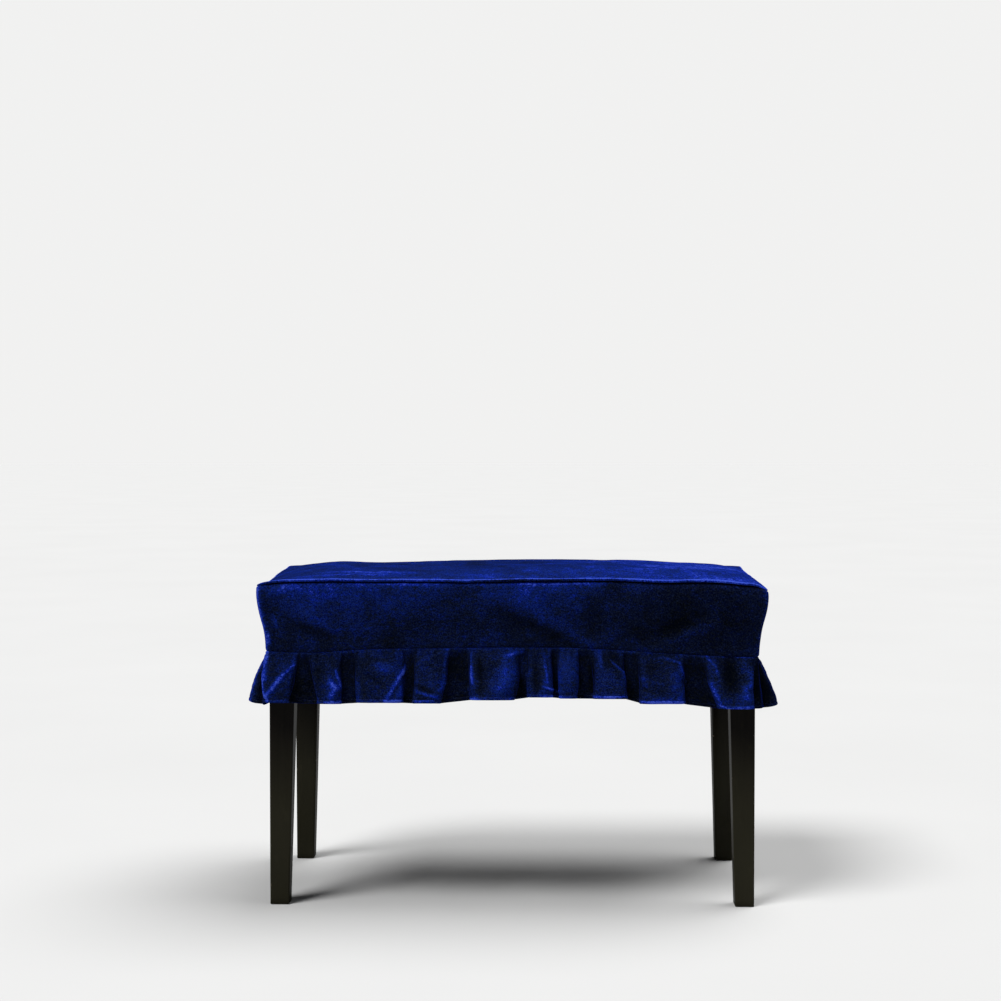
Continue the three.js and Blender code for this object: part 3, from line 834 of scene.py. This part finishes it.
def make_cover_top():
    grid = rolled_grid(TOP.half_x, TOP.half_y, TOP.cells, RIM_ROLL, top_height)
    x, y = grid[..., 0].copy(), grid[..., 1].copy()
    crease, shine = creasing(x, y, TOP_CREASES)
    in_x, in_y = rounded_corners(x, y)
    to_rim = np.minimum(TOP.half_x - np.abs(x), TOP.half_y - np.abs(y))
    # Painted highlight along the ridge of the rim, uneven along it
    uneven = 1 + PAINTED_RIM_HIGHLIGHT.uneven * soft_noise(grid, PAINTED_RIM_HIGHLIGHT.cell, PAINTED_RIM_HIGHLIGHT.seed)
    rim = PAINTED_LIGHT.rim * uneven * line_of(to_rim - PAINTED_RIM_HIGHLIGHT.inset, PAINTED_RIM_HIGHLIGHT.reach)
    pile = PAINTED_LIGHT.top + shine + uneven_brushing(grid) + rim
    grid[..., 2] += crease
    grid[..., 0] = bowed(x, y) + in_x
    grid[..., 1] = y + in_y
    return sew_sheet("cover_top_panel", grid, CLOTH.panel, CUT_START.top, pile)


def rows_down(upper, above_low, fall, count):
    """Shares of a fall, close together at its upper and its lower edge."""
    lower = [fall - distance for distance in above_low]
    even = np.linspace(upper[-1], lower[0], count)[1:-1]
    return np.concatenate([upper, even, lower]) / fall


def drop_rows():
    upper = [point.distance for point in DROP_UPPER_EDGE]
    lower = [point.distance for point in reversed(DROP_LOWER_EDGE)]
    return rows_down(upper, lower, DROP.fall, DROP_CELLS.rows)


def drop_painted_light(side, share, below, to_corner):
    """Painted light on a drop: painted highlights along its corner seams and under the rim, and painted shade
    in the rim's groove away from the corners, over a darker base.
    """
    corner = np.where(share < 0, PAINTED_CORNER_HIGHLIGHT[side.first], PAINTED_CORNER_HIGHLIGHT[side.last])
    in_shadow = ease(to_corner, 0, DROP_CORNER.hug)
    pile = PAINTED_LIGHT.drop + corner * line_of(to_corner, PAINTED_LIGHT_REACH.corner)
    pile += PAINTED_LIGHT.under_rim * line_of(below, PAINTED_LIGHT_REACH.under_rim)
    return pile + PAINTED_LIGHT.groove * in_shadow * line_of(below, PAINTED_LIGHT_REACH.groove)


def drop_grid(side):
    """A drop panel: it hangs from the rim, is drawn in towards the ruffle's seam and turns both corners."""
    cells = DROP_CELLS.long if side.long else DROP_CELLS.short
    turning = np.linspace(0, math.pi / 4, DROP_CORNER.columns)
    turn = np.concatenate([-turning[:0:-1], np.zeros(cells + 1), turning[1:]])
    straight = np.linspace(-1, 1, cells + 1)
    share = np.concatenate([-np.ones(len(turning) - 1), straight, np.ones(len(turning) - 1)])
    fall = drop_rows()[:, None]
    below = fall * DROP.fall
    drawn = ease(fall, DROP.draw_start, 1)
    reach_x = lerp(TOP.half_x, DROP.low_x, drawn)
    reach_y = lerp(TOP.half_y, DROP.low_y, drawn)
    half, distance = half_sizes(side, reach_x, reach_y)
    if not side.long:
        distance = distance - TOP.bow * (1 - share**TOP.bow_power) * (1 - drawn)
    radius = lerp(DROP_CORNER.top, DROP_CORNER.low, fall)
    along = share * (half - radius) + radius * np.sin(turn)
    out = distance - radius + radius * np.cos(turn)
    rim_half, rim_distance = half_sizes(side, TOP.half_x, TOP.half_y)
    rim = beside(side, along[0] / half[0] * rim_half, rim_distance, 0)
    start = top_height(rim[..., 0], rim[..., 1]) - DROP.below_rim
    height = lerp(start, line_height(SEAMS[side.name], along[-1]), fall)
    points = beside(side, along, out, height)
    to_corner = radius * (turning[-1] - np.abs(turn)) + (1 - np.abs(share)) * (half - radius)
    free = np.sqrt(np.sin(np.pi * fall))
    hugging = lerp(DROP_CORNER.hold, 1, ease(to_corner, 0, DROP_CORNER.hug))
    crease, shine = creasing(along, height, DROP_CREASES[side.name])
    push = free * (wavering(points, DROP_WAVER) + crease)
    push += puckering(points, along, below, DROP_PUCKER)
    push -= DROP_CORNER.groove * line_of(to_corner, DROP_CORNER.groove_width)
    push -= hugging * turned_in(below, DROP_UPPER_EDGE)
    push -= turned_in((1 - fall) * DROP.fall, DROP_LOWER_EDGE)
    pile = drop_painted_light(side, share, below, to_corner) + shine + uneven_brushing(points)
    return beside(side, along + np.sin(turn) * push, out + np.cos(turn) * push, height), pile


def make_drop(side, start):
    grid, pile = drop_grid(side)
    return sew_sheet(f"drop_{side.name}_panel", grid, CLOTH.panel, start, pile)


def ruffle_rows():
    return rows_down(RUFFLE_UPPER_EDGE, HEM_ROWS, RUFFLE.fall, RUFFLE_CELLS.rows)


def pleat_columns(side, fall):
    """The pleats of one side as columns from the seam to the hem, then the fold at its far corner."""
    half, distance = half_sizes(side, DROP.low_x, DROP.low_y)
    pleats = PLEATS[side.name]
    opened = np.maximum(fall - RUFFLE.stitch_line, 0) / (1 - RUFFLE.stitch_line)
    recess = RECESS.long if side.long else RECESS.short
    dip = opened / RECESS.peak * np.exp(1 - opened / RECESS.peak)
    floor = RUFFLE.floor * opened - recess * dip
    swing = 1 - (1 - opened) ** RUFFLE.swing

    def column(seam_place, upper_place, hem_place, out_share, pleat):
        along = lerp(seam_place, lerp(upper_place, hem_place, opened), opened**RUFFLE.gather)
        out = lerp(floor, pleat.crest * swing, out_share)
        foot = pleat.hem - RUFFLE.fold_drop * (1 - out_share)
        height = lerp(line_height(SEAMS[side.name], along) - SEAM_GAP, foot, fall)
        line = beside(side, along, distance + out, height)
        return np.concatenate([line, np.full((len(line), 1), out_share)], axis=1)

    bounds = [(before.upper_end + after.upper_start) / 2 for before, after in zip(pleats, pleats[1:])]
    columns = []
    for pleat, left, right in zip(pleats, [-half, *bounds], [*bounds, half]):
        for fold in PLEAT_SECTION:
            tucked = fold.tuck * RUFFLE.tuck
            upper_place = lerp(pleat.upper_start, pleat.upper_end, fold.along) + tucked
            hem_place = lerp(pleat.start, pleat.end, fold.along) + tucked
            columns.append(column(lerp(left, right, fold.seam), upper_place, hem_place, fold.out, pleat))
    corner_floor = RUFFLE.floor * opened - RECESS.corner * dip
    corner_floor -= DROP_CORNER.low * RUFFLE.corner_share * (1 - opened) ** RUFFLE.corner_power
    seam_level = line_height(SEAMS[side.name], half) - SEAM_GAP
    corner_height = lerp(seam_level, pleats[-1].hem - RUFFLE.fold_drop, fall)
    corner = beside(side, half + corner_floor, distance + corner_floor, corner_height)
    columns.append(np.concatenate([corner, np.zeros((len(corner), 1))], axis=1))
    return columns


def rounded_round(grid, spans):
    """A ring of columns drawn as a smooth cubic curve, with a number of new columns for each old one."""
    lines = (np.roll(grid, 1, axis=1), grid, np.roll(grid, -1, axis=1), np.roll(grid, -2, axis=1))
    steps = []
    for share in np.arange(spans) / spans:
        pulls = (
            (1 - share) ** 3,
            3 * share**3 - 6 * share**2 + 4,
            -3 * share**3 + 3 * share**2 + 3 * share + 1,
            share**3,
        )
        steps.append(sum(pull * line for pull, line in zip(pulls, lines)) / 6)
    return np.stack(steps, axis=2).reshape(len(grid), -1, grid.shape[-1])


def ruffle_creasing(grid, side):
    """The lift, and the painted highlight and painted shade, that one side's creases give the ruffle where it
    stands out from that side.
    """
    along = grid[..., 0] * side.along[0] + grid[..., 1] * side.along[1]
    out = grid[..., 0] * side.out[0] + grid[..., 1] * side.out[1]
    outside = out > half_sizes(side, DROP.low_x, DROP.low_y)[1] - RUFFLE.floor
    return creasing(along, grid[..., 2], RUFFLE_CREASES[side.name]) * outside


def ruffle_painted_light(stand, below):
    """Painted light on the ruffle: painted shade in the folds between its pleats, and painted highlights
    where its pleats turn, under its seam and along its hem.
    """
    shown = ease(stand, PLEAT_STAND.hidden, PLEAT_STAND.shown)
    fold = PAINTED_LIGHT.fold * lerp(PAINTED_LIGHT.fold_start, 1, ease(below, 0, PAINTED_LIGHT_REACH.fold))
    pile = lerp(fold, PAINTED_LIGHT.crest, shown)
    pile += PAINTED_LIGHT.turn * line_of(stand - PLEAT_STAND.turn, PLEAT_STAND.turn_reach)
    pile += PAINTED_LIGHT.seam * line_of(below, PAINTED_LIGHT_REACH.seam)
    return pile + PAINTED_LIGHT.hem * shown * line_of(RUFFLE.fall - below, PAINTED_LIGHT_REACH.hem)


def ruffle_grid():
    fall = ruffle_rows()
    columns = [pleat_columns(side, fall) for side in SIDES]
    drawn = rounded_round(np.stack(sum(columns, []), axis=1), RUFFLE_CELLS.spans)
    front = len(columns[0]) * RUFFLE_CELLS.spans
    drawn = np.concatenate([drawn[:, :front], drawn[:, front :: RUFFLE_CELLS.thinned]], axis=1)
    grid = drawn[..., :3]
    stand = drawn[..., 3]
    below = fall[:, None] * RUFFLE.fall
    run = np.linalg.norm(np.diff(grid[0], axis=0, append=grid[0][:1]), axis=1).cumsum()
    loose = ease(below, 0, RUFFLE.loose_below)
    crease, shine = sum(ruffle_creasing(grid, side) for side in SIDES)
    push = puckering(grid, run, below, RUFFLE_PUCKER) + loose * wavering(grid, RUFFLE_WAVER) + crease
    push -= turned_in(below, DROP_LOWER_EDGE)
    push -= HEM.pinch * line_of(RUFFLE.fall - below - HEM.stitch_height, HEM.pinch_reach)
    pile = ruffle_painted_light(stand, below) + shine + uneven_brushing(grid)
    return grid + facing(grid, True) * push[..., None], pile


def hem_thickness():
    """Thickness of the ruffle's cloth on each of its rows: double in the hem, pressed at the stitches."""
    above = RUFFLE.fall * (1 - ruffle_rows())
    stitched = HEM.stitch_height
    heights = (0, stitched - HEM.double_below, stitched, stitched + HEM.single_above, RUFFLE.fall)
    return np.interp(above, heights, (CLOTH.hem, CLOTH.hem, CLOTH.stitched, CLOTH.ruffle, CLOTH.ruffle))


def make_ruffle(start):
    """The ruffle, and the line along its hem where the stitches lie."""
    grid, pile = ruffle_grid()
    thickness = hem_thickness()[:, None]
    piece = sew_sheet("pleated_ruffle", grid, thickness, start, pile, ring=True)
    stitch_row = len(grid) - len(HEM_ROWS) + HEM_ROWS.index(HEM.stitch_height)
    outside = grid + facing(grid, True) * thickness[..., None] / 2
    return piece, outside[stitch_row]


# Nodes and finishes


class Value:
    """One socket of a node tree, with arithmetic that adds Math nodes."""

    def __init__(self, tree, socket):
        self.tree = tree
        self.socket = socket

    def maths(self, operation, first, second):
        return add_node(self.tree, "ShaderNodeMath", {"operation": operation}, {0: first, 1: second})

    def __add__(self, other):
        return self.maths("ADD", self, other)

    __radd__ = __add__

    def __sub__(self, other):
        return self.maths("SUBTRACT", self, other)

    def __rsub__(self, other):
        return self.maths("SUBTRACT", other, self)

    def __mul__(self, other):
        return self.maths("MULTIPLY", self, other)

    __rmul__ = __mul__


def set_sockets(tree, node, sockets):
    for key, value in sockets.items():
        if isinstance(value, Value):
            tree.links.new(value.socket, node.inputs[key])
        else:
            node.inputs[key].default_value = value


def set_stops(ramp, stops):
    while len(ramp.elements) < len(stops):
        ramp.elements.new(1)
    for element, (place, colour) in zip(ramp.elements, stops):
        element.position = place
        element.color = (*colour, 1)


def add_node(tree, kind, settings, sockets, output=0):
    """Adds a node with its settings and the values or links of its sockets, and gives one of its outputs."""
    made = tree.nodes.new(kind)
    for key, value in settings.items():
        if key == "stops":
            set_stops(made.color_ramp, value)
        else:
            setattr(made, key, value)
    set_sockets(tree, made, sockets)
    return Value(tree, made.outputs[output])


class Finish:
    """A material whose shader is built node by node."""

    def __init__(self, name, roughness, sockets):
        self.material = bpy.data.materials.new(name)
        self.material.use_nodes = True
        self.tree = self.material.node_tree
        self.set_shader({"Roughness": roughness, **sockets})

    def set_shader(self, sockets):
        set_sockets(self.tree, self.tree.nodes["Principled BSDF"], sockets)

    def node(self, kind, settings, sockets, output=0):
        return add_node(self.tree, kind, settings, sockets, output)

    def spot(self):
        """The place on the bench, in metres."""
        return self.node("ShaderNodeTexCoord", {}, {}, output="Object")

    def attribute(self, name):
        return self.node("ShaderNodeAttribute", {"attribute_name": name}, {}, output="Fac")

    def noise(self, vector, scale, detail=2, rough=0.5, distortion=0):
        sockets = {"Vector": vector, "Scale": scale, "Detail": detail}
        sockets.update({"Roughness": rough, "Distortion": distortion})
        return self.node("ShaderNodeTexNoise", {}, sockets)

    def layer(self, vector, layer):
        stretched = self.stretch(vector, layer.scale)
        return self.noise(stretched, 1, layer.detail, layer.rough, layer.distortion)

    def ramp(self, factor, stops):
        return self.node("ShaderNodeValToRGB", {"stops": stops}, {"Fac": factor})

    def stretch(self, vector, scale):
        return self.node("ShaderNodeMapping", {}, {"Vector": vector, "Scale": scale})

    def contrast(self, value, low, high):
        return self.node("ShaderNodeMapRange", {}, {"Value": value, "From Min": low, "From Max": high})

    def mix(self, factor, first, second, blend="MIX"):
        settings = {"data_type": "RGBA", "blend_type": blend}
        sockets = {0: factor, MIX_COLOURS.first: first, MIX_COLOURS.second: second}
        return self.node("ShaderNodeMix", settings, sockets, output=MIX_COLOURS.result)

    def bump(self, height, strength, distance):
        return self.node("ShaderNodeBump", {}, {"Height": height, "Strength": strength, "Distance": distance})

    def finish(self, **sockets):
        self.set_shader({key.replace("_", " "): value for key, value in sockets.items()})
        return self.material


def make_velvet(name, nap):
    """Crushed velvet: pale tips over dark roots in specks along the nap, in short tufts and soft patches."""
    velvet = Finish(name, VELVET.roughness, VELVET_SHEEN)
    cut = velvet.node("ShaderNodeUVMap", {"uv_map": "cut"}, {})
    grain = velvet.layer(cut, nap)
    tufts = velvet.layer(cut, TUFTS)
    patches = velvet.layer(cut, PATCHES)
    # The points' values hold uneven patches of the pile and painted highlights and painted shade, which
    # lighten and darken the velvet's colour
    pile = velvet.attribute("pile")
    lay = VELVET.lay + grain * nap.lay + tufts * TUFTS.lay + patches * PATCHES.lay
    shade = velvet.contrast(lay, VELVET.dark_lay, VELVET.bright_lay) + pile * VELVET.pile
    tips = velvet.ramp(shade, TIPS)
    roots = velvet.mix(1, tips, ROOTS, "MULTIPLY")
    tips_cover = velvet.contrast(grain + pile * VELVET.tip_pile, VELVET.tip_start, VELVET.tip_full)
    uneven = grain * nap.relief + tufts * TUFTS.relief + patches * PATCHES.relief
    return velvet.finish(
        Base_Color=velvet.mix(tips_cover, roots, tips),
        Roughness=VELVET.dull - VELVET.smoother * shade,
        Normal=velvet.bump(uneven, VELVET.relief, VELVET.depth),
    )


def make_thread():
    thread = Finish("navy thread", THREAD.roughness, THREAD_SHEEN)
    twist = thread.noise(thread.spot(), THREAD.twist, detail=1)
    colour = thread.ramp(twist, THREAD_COLOURS)
    return thread.finish(Base_Color=colour, Roughness=THREAD.dull - THREAD.smoother * twist)


def make_lacquer():
    """Black lacquer over wood: a faint grain, painted light low down where the legs come out of the cover's
    shadow, dust in its scuffs, and worn, chipped edges.
    """
    lacquer = Finish("black lacquer", LACQUER.roughness, LACQUER_COAT)
    spot = lacquer.spot()
    height = lacquer.node("ShaderNodeSeparateXYZ", {}, {"Vector": spot}, output="Z")
    low_down = lacquer.contrast(height, LACQUER.film_top, LACQUER.film_full)
    grain = lacquer.noise(lacquer.stretch(spot, LACQUER.grain), 1, detail=4, rough=0.6)
    clouds = lacquer.noise(spot, LACQUER.clouds, detail=3)
    flaking = lacquer.noise(spot, LACQUER.chips, detail=2) * lacquer.attribute("edge")
    chips = lacquer.contrast(flaking, LACQUER.chip_start, LACQUER.chip_full)
    rubbing = lacquer.noise(lacquer.stretch(spot, LACQUER.scuffs), 1, detail=5)
    scuffs = lacquer.contrast(rubbing, LACQUER.scuff_start, LACQUER.scuff_full)
    # Painted light low down, where the legs leave the cover's shadow, in clouds, plus dust in the scuffs
    film = low_down * (LACQUER.film + clouds * LACQUER.film_clouds) + scuffs * LACQUER.film_scuffs
    with_painted_light_and_dust = lacquer.mix(film, lacquer.ramp(grain, LACQUER_COLOURS), PAINTED_LIGHT_AND_DUST)
    uneven = grain * LACQUER.relief_grain + (1 - chips) * LACQUER.relief_chips
    worn = clouds * LACQUER.rough_clouds + scuffs * LACQUER.rough_scuffs + chips * LACQUER.rough_chips
    return lacquer.finish(
        Base_Color=lacquer.mix(chips * LACQUER.chip_cover, with_painted_light_and_dust, BARE_WOOD),
        Roughness=LACQUER.smooth + worn,
        Coat_Weight=LACQUER.coat - LACQUER.coat * chips,
        Normal=lacquer.bump(uneven, LACQUER.relief, LACQUER.depth),
    )


def make_seat_cloth():
    """Plain dark seat covering, with a fine woven grain."""
    cloth = Finish("seat covering", SEAT_CLOTH.roughness, {"Sheen Weight": SEAT_CLOTH.sheen})
    spot = cloth.spot()
    threads = {"Vector": spot, "Scale": SEAT_CLOTH.threads}
    weft = cloth.node("ShaderNodeTexWave", {"bands_direction": "X"}, threads)
    warp = cloth.node("ShaderNodeTexWave", {"bands_direction": "Y"}, threads)
    weave = weft * 0.5 + warp * 0.5
    clouds = cloth.noise(spot, SEAT_CLOTH.clouds, detail=3)
    shade = weave * SEAT_CLOTH.weave_share + clouds * SEAT_CLOTH.cloud_share
    return cloth.finish(
        Base_Color=cloth.ramp(shade, SEAT_COLOURS),
        Roughness=SEAT_CLOTH.dull - SEAT_CLOTH.smoother * weave,
        Normal=cloth.bump(weave, SEAT_CLOTH.relief, SEAT_CLOTH.depth),
    )


def make_floor_paint():
    paint = Finish("pale studio floor", FLOOR_PAINT.roughness, {"Specular IOR Level": 0})
    clouds = paint.noise(paint.spot(), FLOOR_PAINT.clouds, detail=3)
    return paint.finish(Base_Color=paint.ramp(clouds, FLOOR_COLOURS))


# Bench


def leg_section(size):
    """Points round a square post with rounded edges from its outer corner, and how worn each is."""
    radius = LEG.rounding
    bends = np.linspace(0, math.pi / 2, LEG.bends)
    gaps = [radius + gap for gap in LEG.flat_points]
    points = []
    wear = []
    corners = ((size, 0), (size, size), (0, size), (0, 0))
    for quarter, corner in enumerate(corners):
        heading = quarter * math.pi / 2
        forward = np.array([math.cos(heading), math.sin(heading)])
        inward = np.array([-forward[1], forward[0]])
        centre = corner - forward * radius + inward * radius
        points.extend(corner - forward * gap for gap in reversed(gaps))
        for bend in bends:
            points.append(centre + radius * (math.sin(bend) * forward - math.cos(bend) * inward))
        points.extend(corner + inward * gap for gap in gaps)
        wear.extend([*reversed(LEG.flat_wear), *np.ones(LEG.bends), *LEG.flat_wear])
    return np.array(points), np.array(wear)


def make_leg(node):
    """A leg whose two outer faces stand upright and whose two inner faces taper to the foot."""
    low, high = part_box(node)
    top = high.x - low.x
    side_x = math.copysign(1, low.x + high.x)
    side_y = math.copysign(1, low.y + high.y)
    corner = (side_x * max(abs(low.x), abs(high.x)), side_y * max(abs(low.y), abs(high.y)))
    rows = np.concatenate([[0, LEG.foot_chamfer], np.linspace(LEG.first_row, high.z, LEG.rows)])
    verts = []
    worn = []
    for height in rows:
        size = lerp(LEG.foot, top, height / high.z)
        section, wear = leg_section(size)
        if height == 0:
            shrink = 1 - 2 * LEG.foot_chamfer / size
            section = (section - size / 2) * shrink + size / 2
        verts.extend((corner[0] - side_x * x, corner[1] - side_y * y, height) for x, y in section)
        worn.extend(wear if height > LEG.foot_chamfer else np.ones(len(wear)))
    around = len(section)
    faces = [list(range(around)), list(range(len(verts) - around, len(verts)))]
    for row in range(len(rows) - 1):
        for step in range(around):
            here = row * around + step
            there = row * around + (step + 1) % around
            faces.append([here, there, there + around, here + around])
    return bench_piece(node.replace("leg", "tapered_leg"), verts, faces, worn)


def bench_piece(name, verts, faces, worn):
    """A piece of wood with smooth sides, flat ends and a worn edge."""
    mesh = bpy.data.meshes.new(name)
    mesh.from_pydata([tuple(map(float, vert)) for vert in verts], [], faces)
    shape = bmesh.new()
    shape.from_mesh(mesh)
    bmesh.ops.recalc_face_normals(shape, faces=shape.faces)
    for face in shape.faces:
        face.smooth = len(face.verts) == 4
    shape.to_mesh(mesh)
    shape.free()
    give_points(mesh, "edge", worn)
    return in_scene(name, mesh)


def make_rail(node):
    """A rail with its edges eased."""
    low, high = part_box(node)
    shape = bmesh.new()
    bmesh.ops.create_cube(shape, size=1)
    bmesh.ops.scale(shape, vec=high - low, verts=shape.verts)
    bmesh.ops.translate(shape, vec=(low + high) / 2, verts=shape.verts)
    eased = {"offset": RAIL.rounding, "segments": RAIL.segments, "profile": RAIL.profile, "affect": "EDGES"}
    bmesh.ops.bevel(shape, geom=shape.edges[:], **eased)
    for face in shape.faces:
        face.smooth = True
    mesh = bpy.data.meshes.new(node + "_eased")
    shape.to_mesh(mesh)
    shape.free()
    return in_scene(mesh.name, mesh)


def make_seat():
    """The padded seat: a crowned top that rolls over into upright sides, on a flat underside."""
    low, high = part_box("seat")

    def height_at(x, y):
        off_x = np.abs(x / high.x)
        off_y = np.abs(y / high.y)
        crown = SEAT.crown * (1 - off_x**SEAT.power) * (1 - off_y**SEAT.power)
        return SEAT.edge + crown - SEAT.corner_drop * (off_x * off_y) ** SEAT.corner_sharpness

    top = rolled_grid(high.x, high.y, SEAT.cells, SEAT_ROLL, height_at)
    under = top.copy()
    under[..., 2] = low.z
    top[..., 2] = np.maximum(top[..., 2], low.z + SEAT.least_side)
    edge = (top + under) / 2
    cut = flat_cut(top, False, 0)
    seat = closed_shell("padded_seat", top, under, edge, cut, np.zeros(top.shape[:2]))
    shape = bmesh.new()
    shape.from_mesh(seat.data)
    bmesh.ops.remove_doubles(shape, verts=shape.verts, dist=SEAT.merge)
    shape.to_mesh(seat.data)
    shape.free()
    return seat


# Hem stitching


def stitching_tree():
    """Short stitches of thread, laid end to end along a line."""
    tree = bpy.data.node_groups.new("hem stitching", "GeometryNodeTree")
    tree.interface.new_socket("Line", in_out="INPUT", socket_type="NodeSocketGeometry")
    for name in ("Pitch", "Length", "Thickness", "Uneven"):
        tree.interface.new_socket(name, in_out="INPUT", socket_type="NodeSocketFloat")
    tree.interface.new_socket("Seed", in_out="INPUT", socket_type="NodeSocketInt")
    tree.interface.new_socket("Thread", in_out="INPUT", socket_type="NodeSocketMaterial")
    tree.interface.new_socket("Stitches", in_out="OUTPUT", socket_type="NodeSocketGeometry")

    given = {socket.name: Value(tree, socket) for socket in tree.nodes.new("NodeGroupInput").outputs}
    line = add_node(tree, "GeometryNodeMeshToCurve", {}, {0: given["Line"]})
    pitch = {"Curve": line, "Length": given["Pitch"]}
    marks = add_node(tree, "GeometryNodeResampleCurve", {"mode": "LENGTH"}, pitch)
    rounds = {"Segments": BEAD.segments, "Rings": BEAD.rings, "Radius": BEAD.radius}
    bead = add_node(tree, "GeometryNodeMeshUVSphere", {}, rounds)
    sizes = {0: given["Thickness"], 1: given["Thickness"], 2: given["Length"]}
    size = add_node(tree, "ShaderNodeCombineXYZ", {}, sizes)
    stitch = add_node(tree, "GeometryNodeTransform", {}, {"Geometry": bead, "Scale": size})
    tangent = add_node(tree, "GeometryNodeInputTangent", {}, {})
    turn = add_node(tree, "FunctionNodeAlignRotationToVector", {"axis": "Z"}, {"Vector": tangent})
    between = {2: 1 - given["Uneven"], 3: 1 + given["Uneven"], "Seed": given["Seed"]}
    uneven = add_node(tree, "FunctionNodeRandomValue", {"data_type": "FLOAT"}, between, output=1)
    laid = {"Points": marks, "Instance": stitch, "Rotation": turn, "Scale": uneven}
    stitches = add_node(tree, "GeometryNodeInstanceOnPoints", {}, laid)
    realized = add_node(tree, "GeometryNodeRealizeInstances", {}, {0: stitches})
    smooth = add_node(tree, "GeometryNodeSetShadeSmooth", {}, {0: realized})
    thread = {"Geometry": smooth, "Material": given["Thread"]}
    threaded = add_node(tree, "GeometryNodeSetMaterial", {}, thread)
    set_sockets(tree, tree.nodes.new("NodeGroupOutput"), {0: threaded})
    return tree


def make_stitches(name, line, thread):
    """Stitches along a closed line, as one plain mesh."""
    guide_mesh = bpy.data.meshes.new(name + "_line")
    count = len(line)
    guide_mesh.from_pydata(line.tolist(), [(step, (step + 1) % count) for step in range(count)], [])
    guide = in_scene(guide_mesh.name, guide_mesh)
    tree = stitching_tree()
    modifier = guide.modifiers.new("stitching", "NODES")
    modifier.node_group = tree
    wanted = {
        "Pitch": STITCH.pitch,
        "Length": STITCH.length,
        "Thickness": STITCH.thickness,
        "Uneven": STITCH.uneven,
        "Seed": STITCH.seed,
        "Thread": thread,
    }
    for item in tree.interface.items_tree:
        if item.item_type == "SOCKET" and item.name in wanted:
            modifier[item.identifier] = wanted[item.name]
    ready = bpy.context.evaluated_depsgraph_get()
    mesh = bpy.data.meshes.new_from_object(guide.evaluated_get(ready), depsgraph=ready)
    mesh.name = name
    piece = in_scene(name, mesh)
    bpy.data.objects.remove(guide)
    return piece


# Studio


def make_camera():
    turn = math.radians(CAMERA.turn)
    dip = math.radians(CAMERA.dip)
    look = Vector((math.sin(turn) * math.cos(dip), math.cos(turn) * math.cos(dip), -math.sin(dip)))
    lens = bpy.data.cameras.new("camera")
    lens.sensor_width = CAMERA.sensor
    lens.lens = CAMERA.sensor * CAMERA.focus / CAMERA.picture
    camera = in_scene("camera", lens)
    camera.location = CAMERA.place
    camera.rotation_euler = look.to_track_quat("-Z", "Y").to_euler()
    bpy.context.scene.camera = camera


def make_soft_light(lamp):
    """An even soft light from one direction, as wide in the sky as its spread."""
    sun = bpy.data.lights.new(lamp.name, "SUN")
    sun.energy = lamp.power
    sun.angle = math.radians(lamp.spread)
    light = in_scene(lamp.name, sun)
    light.rotation_euler = Vector(lamp.source).to_track_quat("Z", "Y").to_euler()


def make_floor(paint):
    """A wide pale floor."""
    reach = STUDIO.floor_reach
    mesh = bpy.data.meshes.new("studio_floor")
    corners = [(-reach, -reach, 0), (reach, -reach, 0), (reach, reach, 0), (-reach, reach, 0)]
    mesh.from_pydata(corners, [], [(0, 1, 2, 3)])
    mesh.materials.append(paint)
    floor = in_scene("studio_floor", mesh)


def make_world():
    """A pale backdrop all round, which adds only a little light of its own."""
    world = bpy.data.worlds.new("studio")
    world.use_nodes = True
    tree = world.node_tree
    ambient = tree.nodes["Background"]
    set_sockets(tree, ambient, {"Color": STUDIO.ambient_colour, "Strength": STUDIO.ambient})
    backdrop = add_node(tree, "ShaderNodeBackground", {}, {"Color": STUDIO.backdrop_colour})
    to_camera = add_node(tree, "ShaderNodeLightPath", {}, {}, output="Is Camera Ray")
    lit = {0: to_camera, 1: Value(tree, ambient.outputs[0]), 2: backdrop}
    surface = add_node(tree, "ShaderNodeMixShader", {}, lit)
    set_sockets(tree, tree.nodes["World Output"], {"Surface": surface})
    bpy.context.scene.world = world


def dress(piece, material, slot, *nodes):
    """Gives a piece its finish, its place in the body and the plain solids that it stands for."""
    if material:
        piece.data.materials.append(material)
    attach(piece, "root")
    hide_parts(*nodes)
    return piece


bpy.context.scene.view_settings.view_transform = "Standard"
make_camera()
make_world()
for lamp in LAMPS:
    make_soft_light(lamp)
make_floor(make_floor_paint())

velvet = make_velvet("crushed velvet", GRAIN)
brushed_velvet = make_velvet("crushed velvet, brushed front to back", TOP_GRAIN)
thread = make_thread()
lacquer = make_lacquer()
cover_top = dress(make_cover_top(), brushed_velvet, "velvet", "cover_top")
for index, side in enumerate(SIDES):
    drop = dress(make_drop(side, CUT_START.drop_step * (index + 1)), velvet, "velvet", f"drop_{side.name}")
ruffle, hem_line = make_ruffle(CUT_START.ruffle)
dress(ruffle, velvet, "velvet", "ruffle")
hem_stitches = dress(make_stitches("hem_stitches", hem_line, thread), None, "velvet")

for side in SIDES:
    node = f"leg_{side.first}"
    dress(make_leg(node), lacquer, "black_lacquer", node)
for side in SIDES:
    node = f"rail_{side.name}"
    dress(make_rail(node), lacquer, "black_lacquer", node)
seat = dress(make_seat(), make_seat_cloth(), "seat_cloth", "seat")
